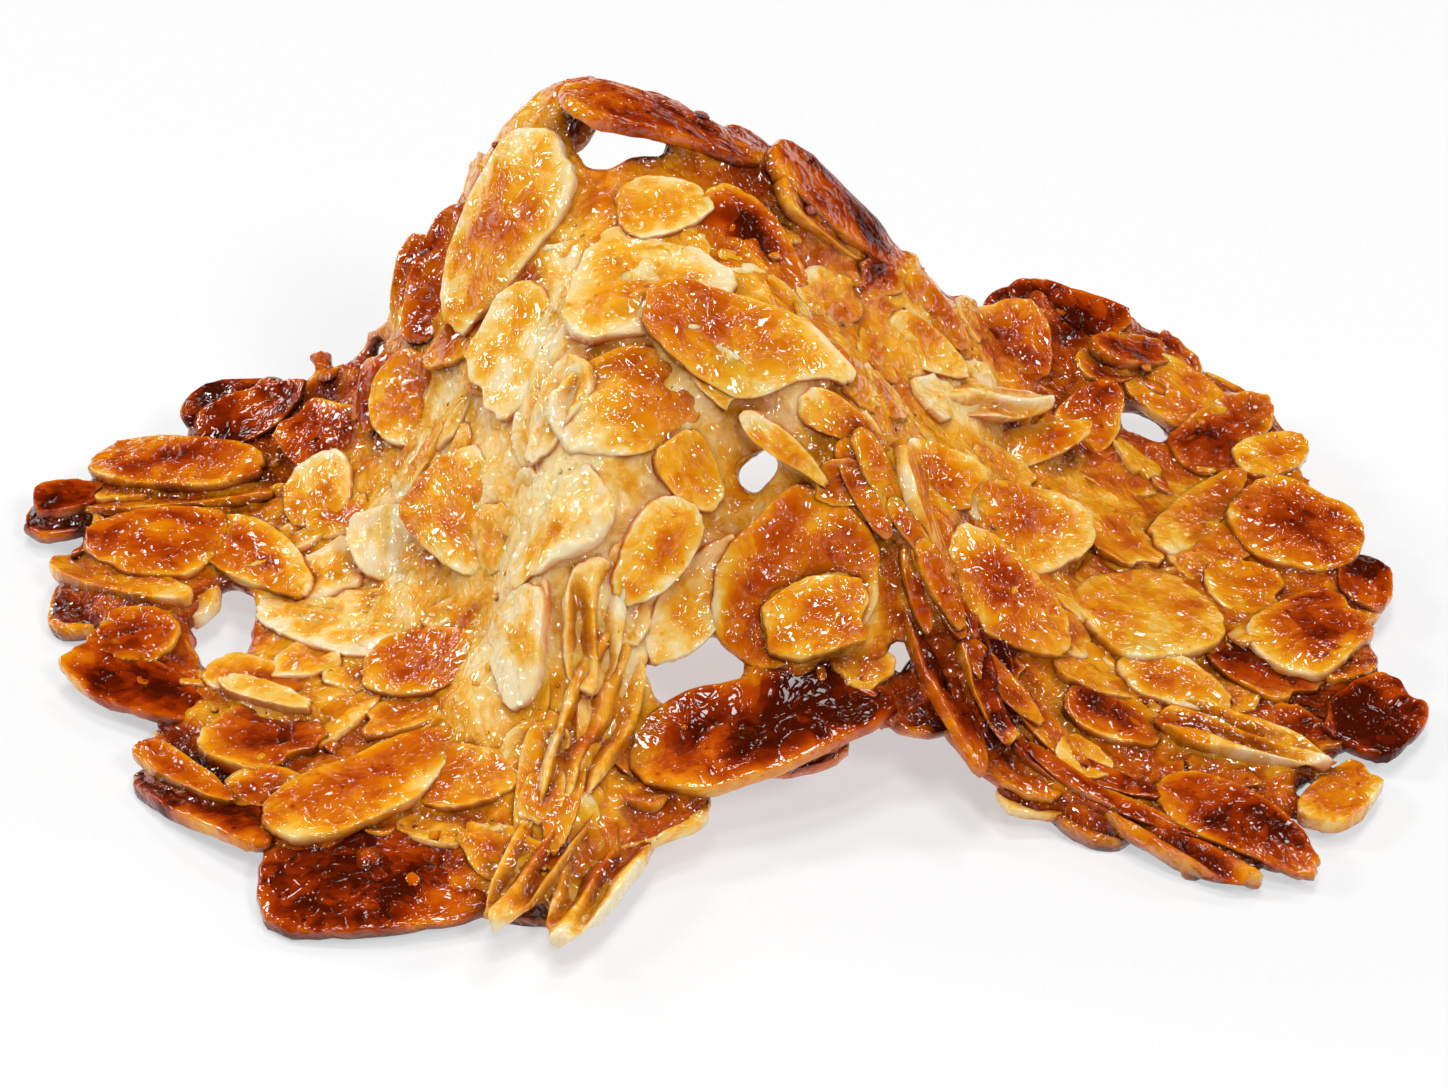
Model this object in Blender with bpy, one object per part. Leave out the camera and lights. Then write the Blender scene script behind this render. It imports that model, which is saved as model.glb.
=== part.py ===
"""Almond tuile: a thin wafer of caramel and flaked almonds, folded while it was hot.

The wafer stands like a small tent. Its rim rises at the back to a peak, two wide lobes lie on the table to the
left and to the right, and a pleat runs down to a foot at the front, beside a low arch. Everything is one piece.

Sizes are in millimetres, and MM turns them to Blender's metres. X runs to the right lobe, -Y to the foot and +Z
up. The origin is on the table under the middle of the wafer.
"""

import math
import random
from collections import namedtuple

import bmesh
import bpy
import numpy as np
from mathutils import Matrix, Vector

MM = 0.001

# Driving sizes
SHEET_THICKNESS = 2.4
FLAKE_THICKNESS = 1.5
DRAPE_SOFTNESS = 3.0  # radius over which the drape rounds a fold
CRAG_HEIGHT = 0.35  # how far the caramel swells and sinks between its flakes
CRAG_LENGTH = 9.0
RIM_SECTORS = 56
RIM_RINGS = 8
FLAKE_SIDES = 8
TIP_SHARPNESS = 0.34  # how much narrower an almond is at its pointed end
FLAKE_TILT = 7.0  # degrees that a flake may rock out of the sheet, either way
FLAKE_SOFTNESS = 0.7  # share of the sheet's bend that the warm flake took
MOST_BEND = 2.5
FILLER_SPACING = 11.0
UNDERSIDE_SPACING = 19.0
RIM_FLAKE_STEP = 3  # sectors from one flake under the rim to the next
RIM_DRAWN_IN = 0.97  # where the caramel ends, as a share of the outline that its flakes make
RIM_RAGGEDNESS = 0.025
HOLE_CLEARANCE = 7.0
FLOOR_TRIM = 0.4  # depth of the flats that the lowest flakes rest on

# The drape: heights of the middle of the sheet along its folds, rim and valleys, as (x, y, z)
DRAPE = {
    "crest": [(-20, 24, 41), (-14, 21, 47), (-6, 19, 46.5), (3, 19, 42), (12, 20, 35), (19, 19, 27)],
    "left_rise": [(-64, 20, 4), (-59, 26, 5), (-49, 28, 9), (-38, 25, 15), (-31, 24, 23), (-26, 24, 31)],
    "right_back": [(25, 26, 19), (31, 33, 16), (42, 40, 11), (51, 33, 8), (58, 22, 5)],
    "right_rim": [(61, 9, 3.8), (61.5, -2, 2.9), (61, -13, 2.8), (56, -23, 2.6), (50, -33, 2.4), (45, -36, 2.2)],
    "right_fold": [(3, -2, 36.5), (7, -7, 32.5), (12, -10, 27.5), (17, -13.5, 20), (21, -18.5, 11.5),
                   (30, -27, 4), (38, -32, 2.8)],
    "front_fold": [(-12, 12, 43.5), (-11, 3, 39), (-12, -6, 33.5), (-13, -14, 28), (-14.5, -21, 20),
                   (-14, -27, 13), (-14, -34, 7.5), (-14, -40, 4.5), (-14, -44, 2.2)],
    "apron": [(2, -10, 26), (-3, -19, 15), (5, -17, 18), (4, -26, 9.5), (-8, -29, 7), (-5, -33, 6),
              (14, -22, 11.5), (10, -31, 8), (17, -26, 9)],
    "left_rim": [(-24, -43, 2.5), (-33, -42, 2.5), (-41, -35, 2.5), (-47, -24, 2.8), (-53, -13, 3),
                 (-59, -4, 3), (-63, 8, 3.5)],
    "left_floor": [(-52, 10, 4.5), (-42, 3, 6), (-43, 17, 8), (-30, -17, 6), (-35, -29, 4), (-30, -3, 10),
                   (-22, -30, 6), (-31, 11, 16), (-23, -5, 19), (-20, -14, 16), (-25, -19, 8)],
    "crown": [(-7, 6, 41), (3, 8, 38.5), (-20, 12, 36), (-19, 2, 29), (11, 6, 30), (-4, -6, 34)],
    "right_floor": [(20, -4, 20), (30, 3, 11), (38, -10, 6), (50, -8, 4.5), (50, 10, 5), (38, 22, 9),
                    (27, -14, 10), (24, 14, 18), (44, -24, 3)],
}

# The rim seen from above, anticlockwise from the foot's left side, as (x, y)
RIM = [
    (-63, 20), (-58, 26), (-49, 28), (-38, 25), (-31, 24), (-25, 25), (-18, 25), (-8, 22), (3, 20),
    (12, 20.5), (19, 20.5), (25, 27), (31, 34), (42, 41), (51, 34), (58, 22), (61, 9), (61.5, -2),
    (61, -13), (56, -23), (50, -33), (44, -36.5), (37, -33), (30, -29.5), (22.5, -24.5), (17, -24.5),
    (11, -28), (1, -31), (-7, -33.5), (-9.5, -39), (-14.5, -44.5), (-24, -44), (-33, -43), (-41, -36),
    (-47, -25), (-53, -14), (-59, -4), (-63, 8),
]

# Gaps that opened in the hot caramel: plan place, then length, width and turn
Hole = namedtuple("Hole", "x y long wide turn")
HOLES = {
    "left_lobe": Hole(-46.5, -3.5, 12, 5, 95),
    "under_peak": Hole(-9.5, 15.5, 8, 5, 0),
    "crown_front": Hole(2, -9.5, 4.5, 2.8, -10),
    "apron": Hole(-2.5, -21.5, 8.5, 4.5, 15),
    "beside_bridge": Hole(16.5, -19.5, 5, 2.6, 70),
    "right_lobe": Hole(41, 25, 4.5, 3.5, 0),
}

# The almonds that set the look, each where it lies: place, turn, length and width, then lean, the degrees that
# its face turns from the sheet towards the front, and lift, its height over the middle of the sheet
Flake = namedtuple("Flake", "x y turn long wide lean lift form")
FLAKES = {
    "left_mahogany": Flake(-52, 20.5, -25, 20, 8, -10, 1.8, "whole"),
    "left_tip_char": Flake(-62.5, 18, 10, 8, 5, 0, 1.1, "broken"),
    "left_long_edge": Flake(-53.5, 16, -15, 23, 5, -18, 0.9, "sliver"),
    "left_round": Flake(-53.5, 8.5, 170, 14, 9.5, 8, 1.7, "whole"),
    "left_inner_amber": Flake(-43.5, 4.5, -50, 17, 6.5, 0, 1.4, "whole"),
    "left_edge_pair": Flake(-56.5, 4, -35, 17, 5, -12, 0.9, "whole"),
    "left_mid_tan": Flake(-55, -5, 165, 10, 7, 0, 1.2, "broken"),
    "left_low_brown": Flake(-53.5, -12, -40, 17, 7, 0, 0.8, "whole"),
    "left_bright_sliver": Flake(-41, -16.5, -35, 10.5, 2.5, 0, 1.9, "sliver"),
    "left_back_red": Flake(-45, 24.5, -5, 12.5, 6, 0, 1.0, "whole"),
    "left_back_brown": Flake(-37, 16, 125, 18, 8, 12, 0.8, "broken"),
    "left_small_pale": Flake(-37.5, 10.5, 80, 8.5, 8, 12, 1.2, "round"),
    "left_golden_round": Flake(-23, -6, -85, 12.5, 10, 15, 1.4, "round"),
    "left_clear_blob": Flake(-30, -0.5, -115, 8, 9, 10, 0.9, "round"),
    "left_pale_long": Flake(-34.5, -6.5, 150, 20, 8, 0, 0.8, "whole"),
    "left_low_gold": Flake(-26, -16, -25, 14.5, 7.5, 0, 1.0, "whole"),
    "left_block_brown": Flake(-40.5, -22.5, -35, 13, 9.5, 0, 1.0, "broken"),
    "left_shade": Flake(-42, -13, -30, 12, 5.5, 0, 0.6, "broken"),
    "front_gold": Flake(-31.5, -30.5, 35, 19.5, 9, 0, 2.0, "whole"),
    "front_under_gold": Flake(-22.5, -30.5, -25, 12, 7, 0, 1.2, "whole"),
    "front_scorched": Flake(-30, -41, -5, 21.5, 12.5, 0, 0.8, "whole"),
    "left_front_char": Flake(-45.5, -29.5, -50, 20, 6, -8, 0.6, "whole"),
    "left_front_sliver": Flake(-47.5, -26.5, -45, 13.5, 3, 0, 1.7, "sliver"),
    "left_front_chip": Flake(-41.5, -30, -50, 6.5, 3.5, 0, 1.0, "broken"),
    "foot_pale_oval": Flake(-17.5, -23, -115, 11.5, 7.5, 0, 0.9, "whole"),
    "foot_pale_long": Flake(-12, -23, -70, 12.5, 5.5, 0, 0.9, "whole"),
    "foot_wrinkled": Flake(-12.5, -29.5, -90, 19, 7, 0, 0.9, "whole"),
    "foot_toe_left": Flake(-15.5, -39.5, -115, 20, 5.5, -20, 1.0, "whole"),
    "foot_toe_right": Flake(-11, -41.5, -110, 19, 6, -20, 1.0, "whole"),
    "foot_side_amber": Flake(-9, -28, -35, 10.5, 5, 0, 0.5, "whole"),
    "peak_big": Flake(-19, 12.5, -155, 19.5, 11, 15, 1.7, "whole"),
    "peak_left_orange": Flake(-29, 22.5, -135, 10.5, 5, 25, 0.5, "whole"),
    "peak_left_red": Flake(-25.5, 17.5, -150, 14.5, 7, 25, 0.6, "whole"),
    "peak_under": Flake(-21, 8, 165, 17, 6, 10, 0.9, "whole"),
    "peak_pale": Flake(-18, 1, -160, 14, 10.5, 20, 1.5, "broken"),
    "peak_left_round": Flake(-28.5, 11, -170, 9.5, 9, 20, 1.0, "round"),
    "peak_cap": Flake(-5.5, 17, 5, 21.5, 9, -30, 1.2, "whole"),
    "ridge_back_dark": Flake(10.5, 18, 10, 20, 8, -12, 0.9, "whole"),
    "ridge_back_amber": Flake(9.5, 15.5, 20, 16, 5.5, -15, 0.8, "whole"),
    "ridge_back_low": Flake(18.5, 16, -5, 10, 4.5, 15, 0.9, "whole"),
    "crown_pale": Flake(-6.5, 0, -10, 15, 12, 0, 0.9, "broken"),
    "crown_long": Flake(2, -4, -15, 19.5, 8, 0, 1.8, "whole"),
    "crown_amber": Flake(-5.5, 8, 20, 9, 6.5, 0, 0.8, "whole"),
    "crown_brown": Flake(2, 7, -15, 12.5, 8, 10, 0.7, "whole"),
    "centre_pale_big": Flake(-8.5, -9, 25, 14, 9.5, 0, 1.0, "broken"),
    "centre_small": Flake(0, -6, -30, 6.5, 4.5, 0, 1.4, "broken"),
    "centre_strip": Flake(-13.5, -8.5, -150, 9.5, 6, 0, 1.3, "whole"),
    "centre_wrinkled": Flake(-14, -17, -165, 12.5, 7, 0, 0.9, "whole"),
    "centre_right_gold": Flake(-3.5, -11.5, -25, 8, 5.5, 0, 1.2, "whole"),
    "apron_small": Flake(-7, -17, -90, 11, 6.5, 0, 1.4, "whole"),
    "apron_pale_long": Flake(-3, -18, -105, 14, 6.5, 0, 0.8, "whole"),
    "apron_brown_big": Flake(6.5, -17, -130, 17, 13.5, 0, 0.9, "round"),
    "apron_top_gold": Flake(9, -19, 20, 11.5, 7.5, 0, 1.9, "broken"),
    "apron_scorched": Flake(3.5, -27, 15, 25, 10.5, 0, 1.2, "whole"),
    "fold_pale_stick": Flake(6, -10, -65, 10, 2.5, 0, 1.6, "sliver"),
    "fold_gold_stick": Flake(10.5, -9, -10, 11, 3, 0, 1.2, "sliver"),
    "fold_knuckle": Flake(11.5, -12, 5, 8, 4, 0, 1.2, "broken"),
    "fold_edge_top": Flake(17, -11, -25, 12.5, 7, -25, 1.0, "whole"),
    "fold_edge_dark": Flake(19, -21, -60, 23, 5, -20, 0.6, "sliver"),
    "fold_char_knob": Flake(23, -20.5, -65, 14, 5, -10, 1.6, "whole"),
    "fold_low_brown": Flake(24.5, -26, -40, 14, 7, 0, 0.6, "whole"),
    "right_tan_flat": Flake(24.5, -12.5, -15, 16, 8.5, 8, 1.5, "whole"),
    "right_top_long": Flake(22, 11, 25, 20, 4, 20, 1.3, "whole"),
    "right_mid_long": Flake(28, 12, 40, 15, 4, 20, 1.3, "whole"),
    "right_knuckle": Flake(19, -5.5, 15, 11, 6, 30, 1.3, "broken"),
    "right_round": Flake(27, -2, 30, 15, 9.5, 22, 1.6, "whole"),
    "right_knob": Flake(34.5, 21.5, 65, 11, 6, 15, 1.2, "whole"),
    "right_pale_round": Flake(38.5, -6.5, 30, 14, 13, 0, 1.5, "round"),
    "right_back_flake": Flake(27, 24.5, -55, 10, 8.5, 35, 1.0, "broken"),
    "right_back_char": Flake(34.5, 35, 10, 16, 7, 15, 0.8, "broken"),
    "right_back_piece": Flake(40, 33.5, 35, 12, 5, -10, 1.5, "broken"),
    "right_back_amber": Flake(37.5, 30.5, 35, 9.5, 4.5, 0, 0.9, "whole"),
    "right_far_amber": Flake(44.5, 29, -30, 12.5, 8.5, 0, 1.2, "broken"),
    "right_far_red": Flake(48.5, 25, 55, 15, 7.5, 0, 1.0, "broken"),
    "right_far_gold": Flake(53, 23, 40, 9, 5.5, 0, 0.8, "whole"),
    "right_diagonal": Flake(45, 12, 60, 18, 5, 0, 1.2, "whole"),
    "right_mahogany": Flake(54, 10.5, -25, 13, 12.5, 10, 1.8, "round"),
    "right_char_small": Flake(60, 4, -95, 8, 5.5, 0, 1.0, "round"),
    "right_mid_pale": Flake(46, 5.5, 0, 10, 9.5, 8, 0.9, "broken"),
    "right_mid_gold": Flake(49, 0.5, 5, 9, 7.5, 8, 0.8, "broken"),
    "right_brown_big": Flake(54.5, -5, 50, 15.5, 9.5, 8, 1.7, "broken"),
    "right_edge_char": Flake(59.5, -16, 55, 13.5, 8, 0, 0.9, "broken"),
    "right_low_pale": Flake(40.5, -15, -25, 11, 6, 0, 1.4, "whole"),
    "right_low_long": Flake(46.5, -22, -20, 16, 6, 0, 1.7, "whole"),
    "right_low_char": Flake(45, -33.5, -40, 17, 7, 0, 1.6, "whole"),
    "right_low_side": Flake(55, -27.5, 55, 12.5, 5.5, 0, 0.6, "broken"),
    "right_front_char": Flake(40, -34.5, -40, 17, 6, 0, 0.6, "whole"),
    "right_knob_ball": Flake(31.5, -26, -25, 5.5, 5, 0, 1.4, "round"),
    "right_low_mid": Flake(33.5, -15, -10, 9.5, 6, 0, 0.8, "whole"),
    "right_shade": Flake(49.5, -11.5, -40, 14, 8, 0, 0.5, "broken"),
    "right_inner_a": Flake(18, 12, 10, 10, 5, 15, 0.8, "whole"),
    "right_inner_b": Flake(37, 3.5, -40, 9.5, 8, 0, 0.8, "broken"),
    "right_inner_c": Flake(34.5, -20.5, -20, 9.5, 5.5, 0, 1.0, "whole"),
}


def fit_drape():
    """Control points and weights of the smooth surface through every drape line."""
    points = np.array([point for line in DRAPE.values() for point in line])
    count = len(points)
    reach = np.linalg.norm(points[:, None, :2] - points[None, :, :2], axis=2)
    plane = np.c_[np.ones(count), points[:, :2]]
    system = np.block([
        [-np.hypot(reach, DRAPE_SOFTNESS) - CRAG_HEIGHT * np.eye(count), plane],
        [plane.T, np.zeros((3, 3))],
    ])
    return points, np.linalg.solve(system, np.r_[points[:, 2], np.zeros(3)])


DRAPE_POINTS, DRAPE_WEIGHTS = fit_drape()


def height(x, y):
    """Height of the middle of the sheet over a plan point."""
    reach = np.hypot(x - DRAPE_POINTS[:, 0], y - DRAPE_POINTS[:, 1])
    level, slope_x, slope_y = DRAPE_WEIGHTS[-3:]
    return -np.hypot(reach, DRAPE_SOFTNESS) @ DRAPE_WEIGHTS[:-3] + level + slope_x * x + slope_y * y


def normal(x, y, step=0.6):
    """Upward normal of the sheet over a plan point."""
    slope_x = (height(x + step, y) - height(x - step, y)) / (2 * step)
    slope_y = (height(x, y + step) - height(x, y - step)) / (2 * step)
    return Vector((-slope_x, -slope_y, 1)).normalized()


def crag(x, y):
    """Swell of the caramel's surface, from a few crossed waves."""
    turn = 2 * math.pi / CRAG_LENGTH
    return CRAG_HEIGHT * math.sin(turn * (x + 0.4 * y)) * math.cos(turn * (0.9 * y - 0.3 * x))


def rim_points(count):
    """Points along the closed Catmull-Rom curve through RIM."""
    points = []
    for step in range(count):
        index, share = divmod(step * len(RIM) / count, 1)
        a, b, c, d = (Vector(RIM[(int(index) + k - 1) % len(RIM)]) for k in range(4))
        points.append(0.5 * (2 * b + (c - a) * share + (2 * a - 5 * b + 4 * c - d) * share**2
                             + (3 * b - a - 3 * c + d) * share**3))
    return points


RIM_CURVE = rim_points(RIM_SECTORS)


def inside_rim(x, y, share=1.0):
    """Whether a plan point lies inside the rim drawn in to that share of its reach."""
    inside = False
    for a, b in zip(RIM_CURVE, RIM_CURVE[1:] + RIM_CURVE[:1]):
        crosses = (a.y * share > y) != (b.y * share > y)
        if crosses and x < share * (a.x + (y / share - a.y) * (b.x - a.x) / (b.y - a.y)):
            inside = not inside
    return inside


def clear_of_holes(x, y):
    return all(math.hypot(x - hole.x, y - hole.y) > HOLE_CLEARANCE for hole in HOLES.values())


def scattered(spacing, lift, rng, taken):
    """Flakes at random places, no closer than spacing to each other or to the plan points in taken."""
    found = []
    taken = list(taken)
    for _ in range(900):
        x, y = rng.uniform(-62, 62), rng.uniform(-44, 41)
        turn, long, wide = rng.uniform(0, 360), rng.uniform(11, 16), rng.uniform(6.5, 9)
        near = any(math.hypot(x - a, y - b) < spacing for a, b in taken)
        if near or not inside_rim(x, y, 0.93) or not clear_of_holes(x, y):
            continue
        taken.append((x, y))
        found.append(Flake(x, y, turn, long, wide, 0, lift, "whole"))
    return found


def under_rim(rng):
    """Flakes that peep out from under the rim, roughly along it."""
    found = []
    for k in range(0, RIM_SECTORS, RIM_FLAKE_STEP):
        place = RIM_CURVE[k] * rng.uniform(0.92, 0.97)
        along = RIM_CURVE[(k + 1) % RIM_SECTORS] - RIM_CURVE[k]
        turn = math.degrees(math.atan2(along.y, along.x)) + rng.uniform(-40, 40)
        found.append(Flake(place.x, place.y, turn, rng.uniform(10, 15), rng.uniform(6, 8), 0, -0.7, "whole"))
    return found


def turned_to_front(face, lean):
    """The direction face, turned by lean degrees towards the front of the wafer."""
    front = Vector((0, -math.cos(math.radians(33)), math.sin(math.radians(33))))
    return Matrix.Rotation(math.radians(lean), 3, face.cross(front).normalized()) @ face


def flake_matrix(flake, roll=0.0, pitch=0.0):
    """Places a flake: X along it, Y across it and Z out of its face, in millimetres."""
    sheet_normal = normal(flake.x, flake.y)
    face = turned_to_front(sheet_normal, flake.lean)
    along = Vector((face.z, 0, -face.x)).normalized()
    axes = Matrix((along, face.cross(along), face)).transposed()
    axes = axes @ Matrix.Rotation(math.radians(flake.turn), 3, "Z")
    axes = axes @ Matrix.Rotation(math.radians(roll), 3, "X") @ Matrix.Rotation(math.radians(pitch), 3, "Y")
    place = Vector((flake.x, flake.y, height(flake.x, flake.y))) + flake.lift * sheet_normal
    return Matrix.Translation(place) @ axes.to_4x4()


def bend_of_sheet(flake, point):
    """How far the sheet rises over a point, above the plane that touches it under the flake's middle."""
    face = normal(flake.x, flake.y)
    plane = height(flake.x, flake.y) - (face.x * (point.x - flake.x) + face.y * (point.y - flake.y)) / face.z
    return max(-MOST_BEND, min(MOST_BEND, height(point.x, point.y) - plane))


def flake_outline(flake, rng):
    """Outline of a sliced almond: an egg with a pointed tip, wobbly, and cut short where it is broken."""
    points = []
    for side in range(FLAKE_SIDES):
        angle = 2 * math.pi * (side + 0.5) / FLAKE_SIDES
        wobble = 1 + rng.uniform(-0.07, 0.07)
        x = 0.5 * flake.long * math.cos(angle) * wobble
        sharpness = 0 if flake.form == "round" else TIP_SHARPNESS
        y = 0.5 * flake.wide * math.sin(angle) * (1 - sharpness * math.cos(angle)) * wobble
        if flake.form == "broken":
            x = min(x, 0.34 * flake.long + 0.25 * y)
        points.append((x, y))
    return points


def flake_object(name, flake):
    """One almond flake as a thin slab, slightly narrower on top."""
    rng = random.Random(name)
    roll, pitch = rng.uniform(-FLAKE_TILT, FLAKE_TILT), rng.uniform(-0.4, 0.4) * FLAKE_TILT
    mesh = bmesh.new()
    rim = [mesh.verts.new((x, y, -0.5 * FLAKE_THICKNESS)) for x, y in flake_outline(flake, rng)]
    bottom = mesh.faces.new(rim)
    top = bmesh.ops.extrude_face_region(mesh, geom=[bottom])["geom"]
    top_points = [item for item in top if isinstance(item, bmesh.types.BMVert)]
    bmesh.ops.translate(mesh, verts=top_points, vec=(0, 0, FLAKE_THICKNESS))
    bmesh.ops.scale(mesh, verts=top_points, vec=(0.93, 0.9, 1))
    bmesh.ops.recalc_face_normals(mesh, faces=mesh.faces)
    mesh.transform(flake_matrix(flake, roll, pitch))
    for point in mesh.verts:
        point.co.z += FLAKE_SOFTNESS * bend_of_sheet(flake, point.co)
    mesh.transform(Matrix.Scale(MM, 4))
    return object_of(name, mesh)


def object_of(name, mesh):
    bmesh.ops.triangulate(mesh, faces=mesh.faces)
    data = bpy.data.meshes.new(name)
    mesh.to_mesh(data)
    mesh.free()
    made = bpy.data.objects.new(name, data)
    bpy.context.scene.collection.objects.link(made)
    return made


def sheet_object():
    """The caramel sheet: rings of points from the middle of the wafer to its ragged rim, on both faces."""
    rng = random.Random("rim")
    ends = [RIM_DRAWN_IN + rng.uniform(-RIM_RAGGEDNESS, RIM_RAGGEDNESS) for _ in RIM_CURVE]
    mesh = bmesh.new()
    sides = []
    for offset in (0.5 * SHEET_THICKNESS, -0.5 * SHEET_THICKNESS):
        rings = []
        for ring in range(RIM_RINGS + 1):
            share = ring / RIM_RINGS
            places = [p * share * end for p, end in zip(RIM_CURVE, ends)] if ring else [Vector((0, 0))]
            rings.append([mesh.verts.new(sheet_point(p.x, p.y, offset)) for p in places])
        sides.append(rings)
    for rings, flip in zip(sides, (False, True)):
        for k in range(RIM_SECTORS):
            after = (k + 1) % RIM_SECTORS
            add_face(mesh, (rings[0][0], rings[1][k], rings[1][after]), flip)
            for inner, outer in zip(rings[1:], rings[2:]):
                add_face(mesh, (inner[k], outer[k], outer[after], inner[after]), flip)
    for k in range(RIM_SECTORS):
        after = (k + 1) % RIM_SECTORS
        add_face(mesh, (sides[0][-1][k], sides[1][-1][k], sides[1][-1][after], sides[0][-1][after]), False)
    bmesh.ops.recalc_face_normals(mesh, faces=mesh.faces)
    return object_of("tuile", mesh)


def add_face(mesh, points, flip):
    mesh.faces.new(reversed(points) if flip else points)


def sheet_point(x, y, offset):
    """A point of the sheet's upper or lower face, in metres."""
    middle = Vector((x, y, height(x, y) + crag(x, y)))
    return (middle + offset * normal(x, y)) * MM


def hole_cutters():
    """A short slab across the sheet for each gap in it."""
    cutters = []
    for name, hole in HOLES.items():
        mesh = bmesh.new()
        bmesh.ops.create_cone(mesh, cap_ends=True, segments=12, radius1=0.5, radius2=0.5, depth=1)
        across = Matrix.Diagonal((hole.long, hole.wide, 4 * SHEET_THICKNESS, 1))
        place = flake_matrix(Flake(hole.x, hole.y, hole.turn, 0, 0, 0, 0, "hole"))
        mesh.transform(Matrix.Scale(MM, 4) @ place @ across)
        cutters.append(object_of("hole_" + name, mesh))
    return cutters


def floor_block():
    """Everything under the table top, which trims the lowest flakes flat."""
    mesh = bmesh.new()
    bmesh.ops.create_cube(mesh, size=1)
    size = (160 * MM, 120 * MM, 20 * MM)
    mesh.transform(Matrix.Translation((0, 0, -10 * MM)) @ Matrix.Diagonal((*size, 1)))
    return [object_of("floor_block", mesh)]


def combine(body, others, operation):
    """Joins others to body, or cuts them from it, in one Boolean, and removes them."""
    group = bpy.data.collections.new("others")
    for other in others:
        group.objects.link(other)
    boolean = body.modifiers.new(operation, "BOOLEAN")
    boolean.operation = operation
    boolean.operand_type = "COLLECTION"
    boolean.collection = group
    boolean.solver = "MANIFOLD"
    bpy.context.view_layer.objects.active = body
    bpy.ops.object.modifier_apply(modifier=boolean.name)
    for other in others:
        bpy.data.objects.remove(other)
    bpy.data.collections.remove(group)


def keep_one_solid(body):
    """Drops loose scraps, and fills hollows that fusing has sealed, by keeping the largest shell alone."""
    mesh = bmesh.new()
    mesh.from_mesh(body.data)
    shells = []
    waiting = set(mesh.verts)
    while waiting:
        shell = {waiting.pop()}
        edge_of = list(shell)
        while edge_of:
            for edge in edge_of.pop().link_edges:
                for point in edge.verts:
                    if point in waiting:
                        waiting.remove(point)
                        shell.add(point)
                        edge_of.append(point)
        shells.append(shell)
    largest = max(shells, key=len)
    bmesh.ops.delete(mesh, geom=[v for v in mesh.verts if v not in largest], context="VERTS")
    mesh.to_mesh(body.data)
    mesh.free()


def caramel_material():
    """Glossy baked caramel over almond, golden brown."""
    material = bpy.data.materials.new("caramelised_almond")
    material.use_nodes = True
    shader = material.node_tree.nodes["Principled BSDF"]
    shader.inputs["Base Color"].default_value = (0.60, 0.24, 0.045, 1)
    shader.inputs["Roughness"].default_value = 0.22
    shader.inputs["Metallic"].default_value = 0
    return material


def main():
    for old in list(bpy.data.objects):
        bpy.data.objects.remove(old)
    rng = random.Random(11)
    placed = [(flake.x, flake.y) for flake in FLAKES.values()]
    flakes = dict(FLAKES)
    groups = {
        "filler": scattered(FILLER_SPACING, 0.6, rng, placed),
        "underside": scattered(UNDERSIDE_SPACING, -0.9, rng, []),
        "rim": under_rim(rng),
    }
    for group, found in groups.items():
        flakes.update({f"{group}_{index}": flake for index, flake in enumerate(found)})
    tuile = sheet_object()
    combine(tuile, hole_cutters(), "DIFFERENCE")
    combine(tuile, [flake_object(name, flake) for name, flake in flakes.items()], "UNION")
    spans = [(min(side), max(side)) for side in zip(*(vertex.co for vertex in tuile.data.vertices))]
    middle = [0.5 * (low + high) for low, high in spans[:2]]
    tuile.data.transform(Matrix.Translation((-middle[0], -middle[1], -spans[2][0] - FLOOR_TRIM * MM)))
    combine(tuile, floor_block(), "DIFFERENCE")
    keep_one_solid(tuile)
    tuile.data.materials.clear()
    tuile.data.materials.append(caramel_material())


main()
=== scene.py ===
"""The looks of an almond tuile: flaked almonds baked into a sheet of caramel and folded while hot.

The caramel is one lumpy, glossy sheet, draped in the form of a small tent. The almonds lie on it and in it, and are
cream in the middle of the wafer and nearly black at its rim. All shapes are worked out in millimetres on the drape,
and finished() moves them to the part's frame, in metres.
"""

import math
import random
from collections import namedtuple

import bmesh
import bpy
import numpy as np
from mathutils import Matrix, Vector, noise
from mathutils.bvhtree import BVHTree


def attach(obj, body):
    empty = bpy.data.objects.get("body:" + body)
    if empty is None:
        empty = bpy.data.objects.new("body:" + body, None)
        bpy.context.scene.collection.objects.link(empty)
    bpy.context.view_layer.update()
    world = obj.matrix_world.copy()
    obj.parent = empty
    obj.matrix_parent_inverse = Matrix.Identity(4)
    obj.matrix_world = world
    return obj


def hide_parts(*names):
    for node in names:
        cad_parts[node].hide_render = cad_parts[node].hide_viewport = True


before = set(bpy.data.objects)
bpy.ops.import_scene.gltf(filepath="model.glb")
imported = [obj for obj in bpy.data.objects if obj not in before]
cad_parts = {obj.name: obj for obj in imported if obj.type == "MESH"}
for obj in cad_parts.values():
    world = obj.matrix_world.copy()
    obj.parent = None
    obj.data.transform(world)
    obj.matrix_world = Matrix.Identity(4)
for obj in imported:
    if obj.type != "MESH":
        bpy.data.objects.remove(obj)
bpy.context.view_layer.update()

MM = 0.001
DRAPE_TO_PART = Vector((1.75, 5.34, -0.88))  # from the drape's origin to the middle of the part's foot

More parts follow.
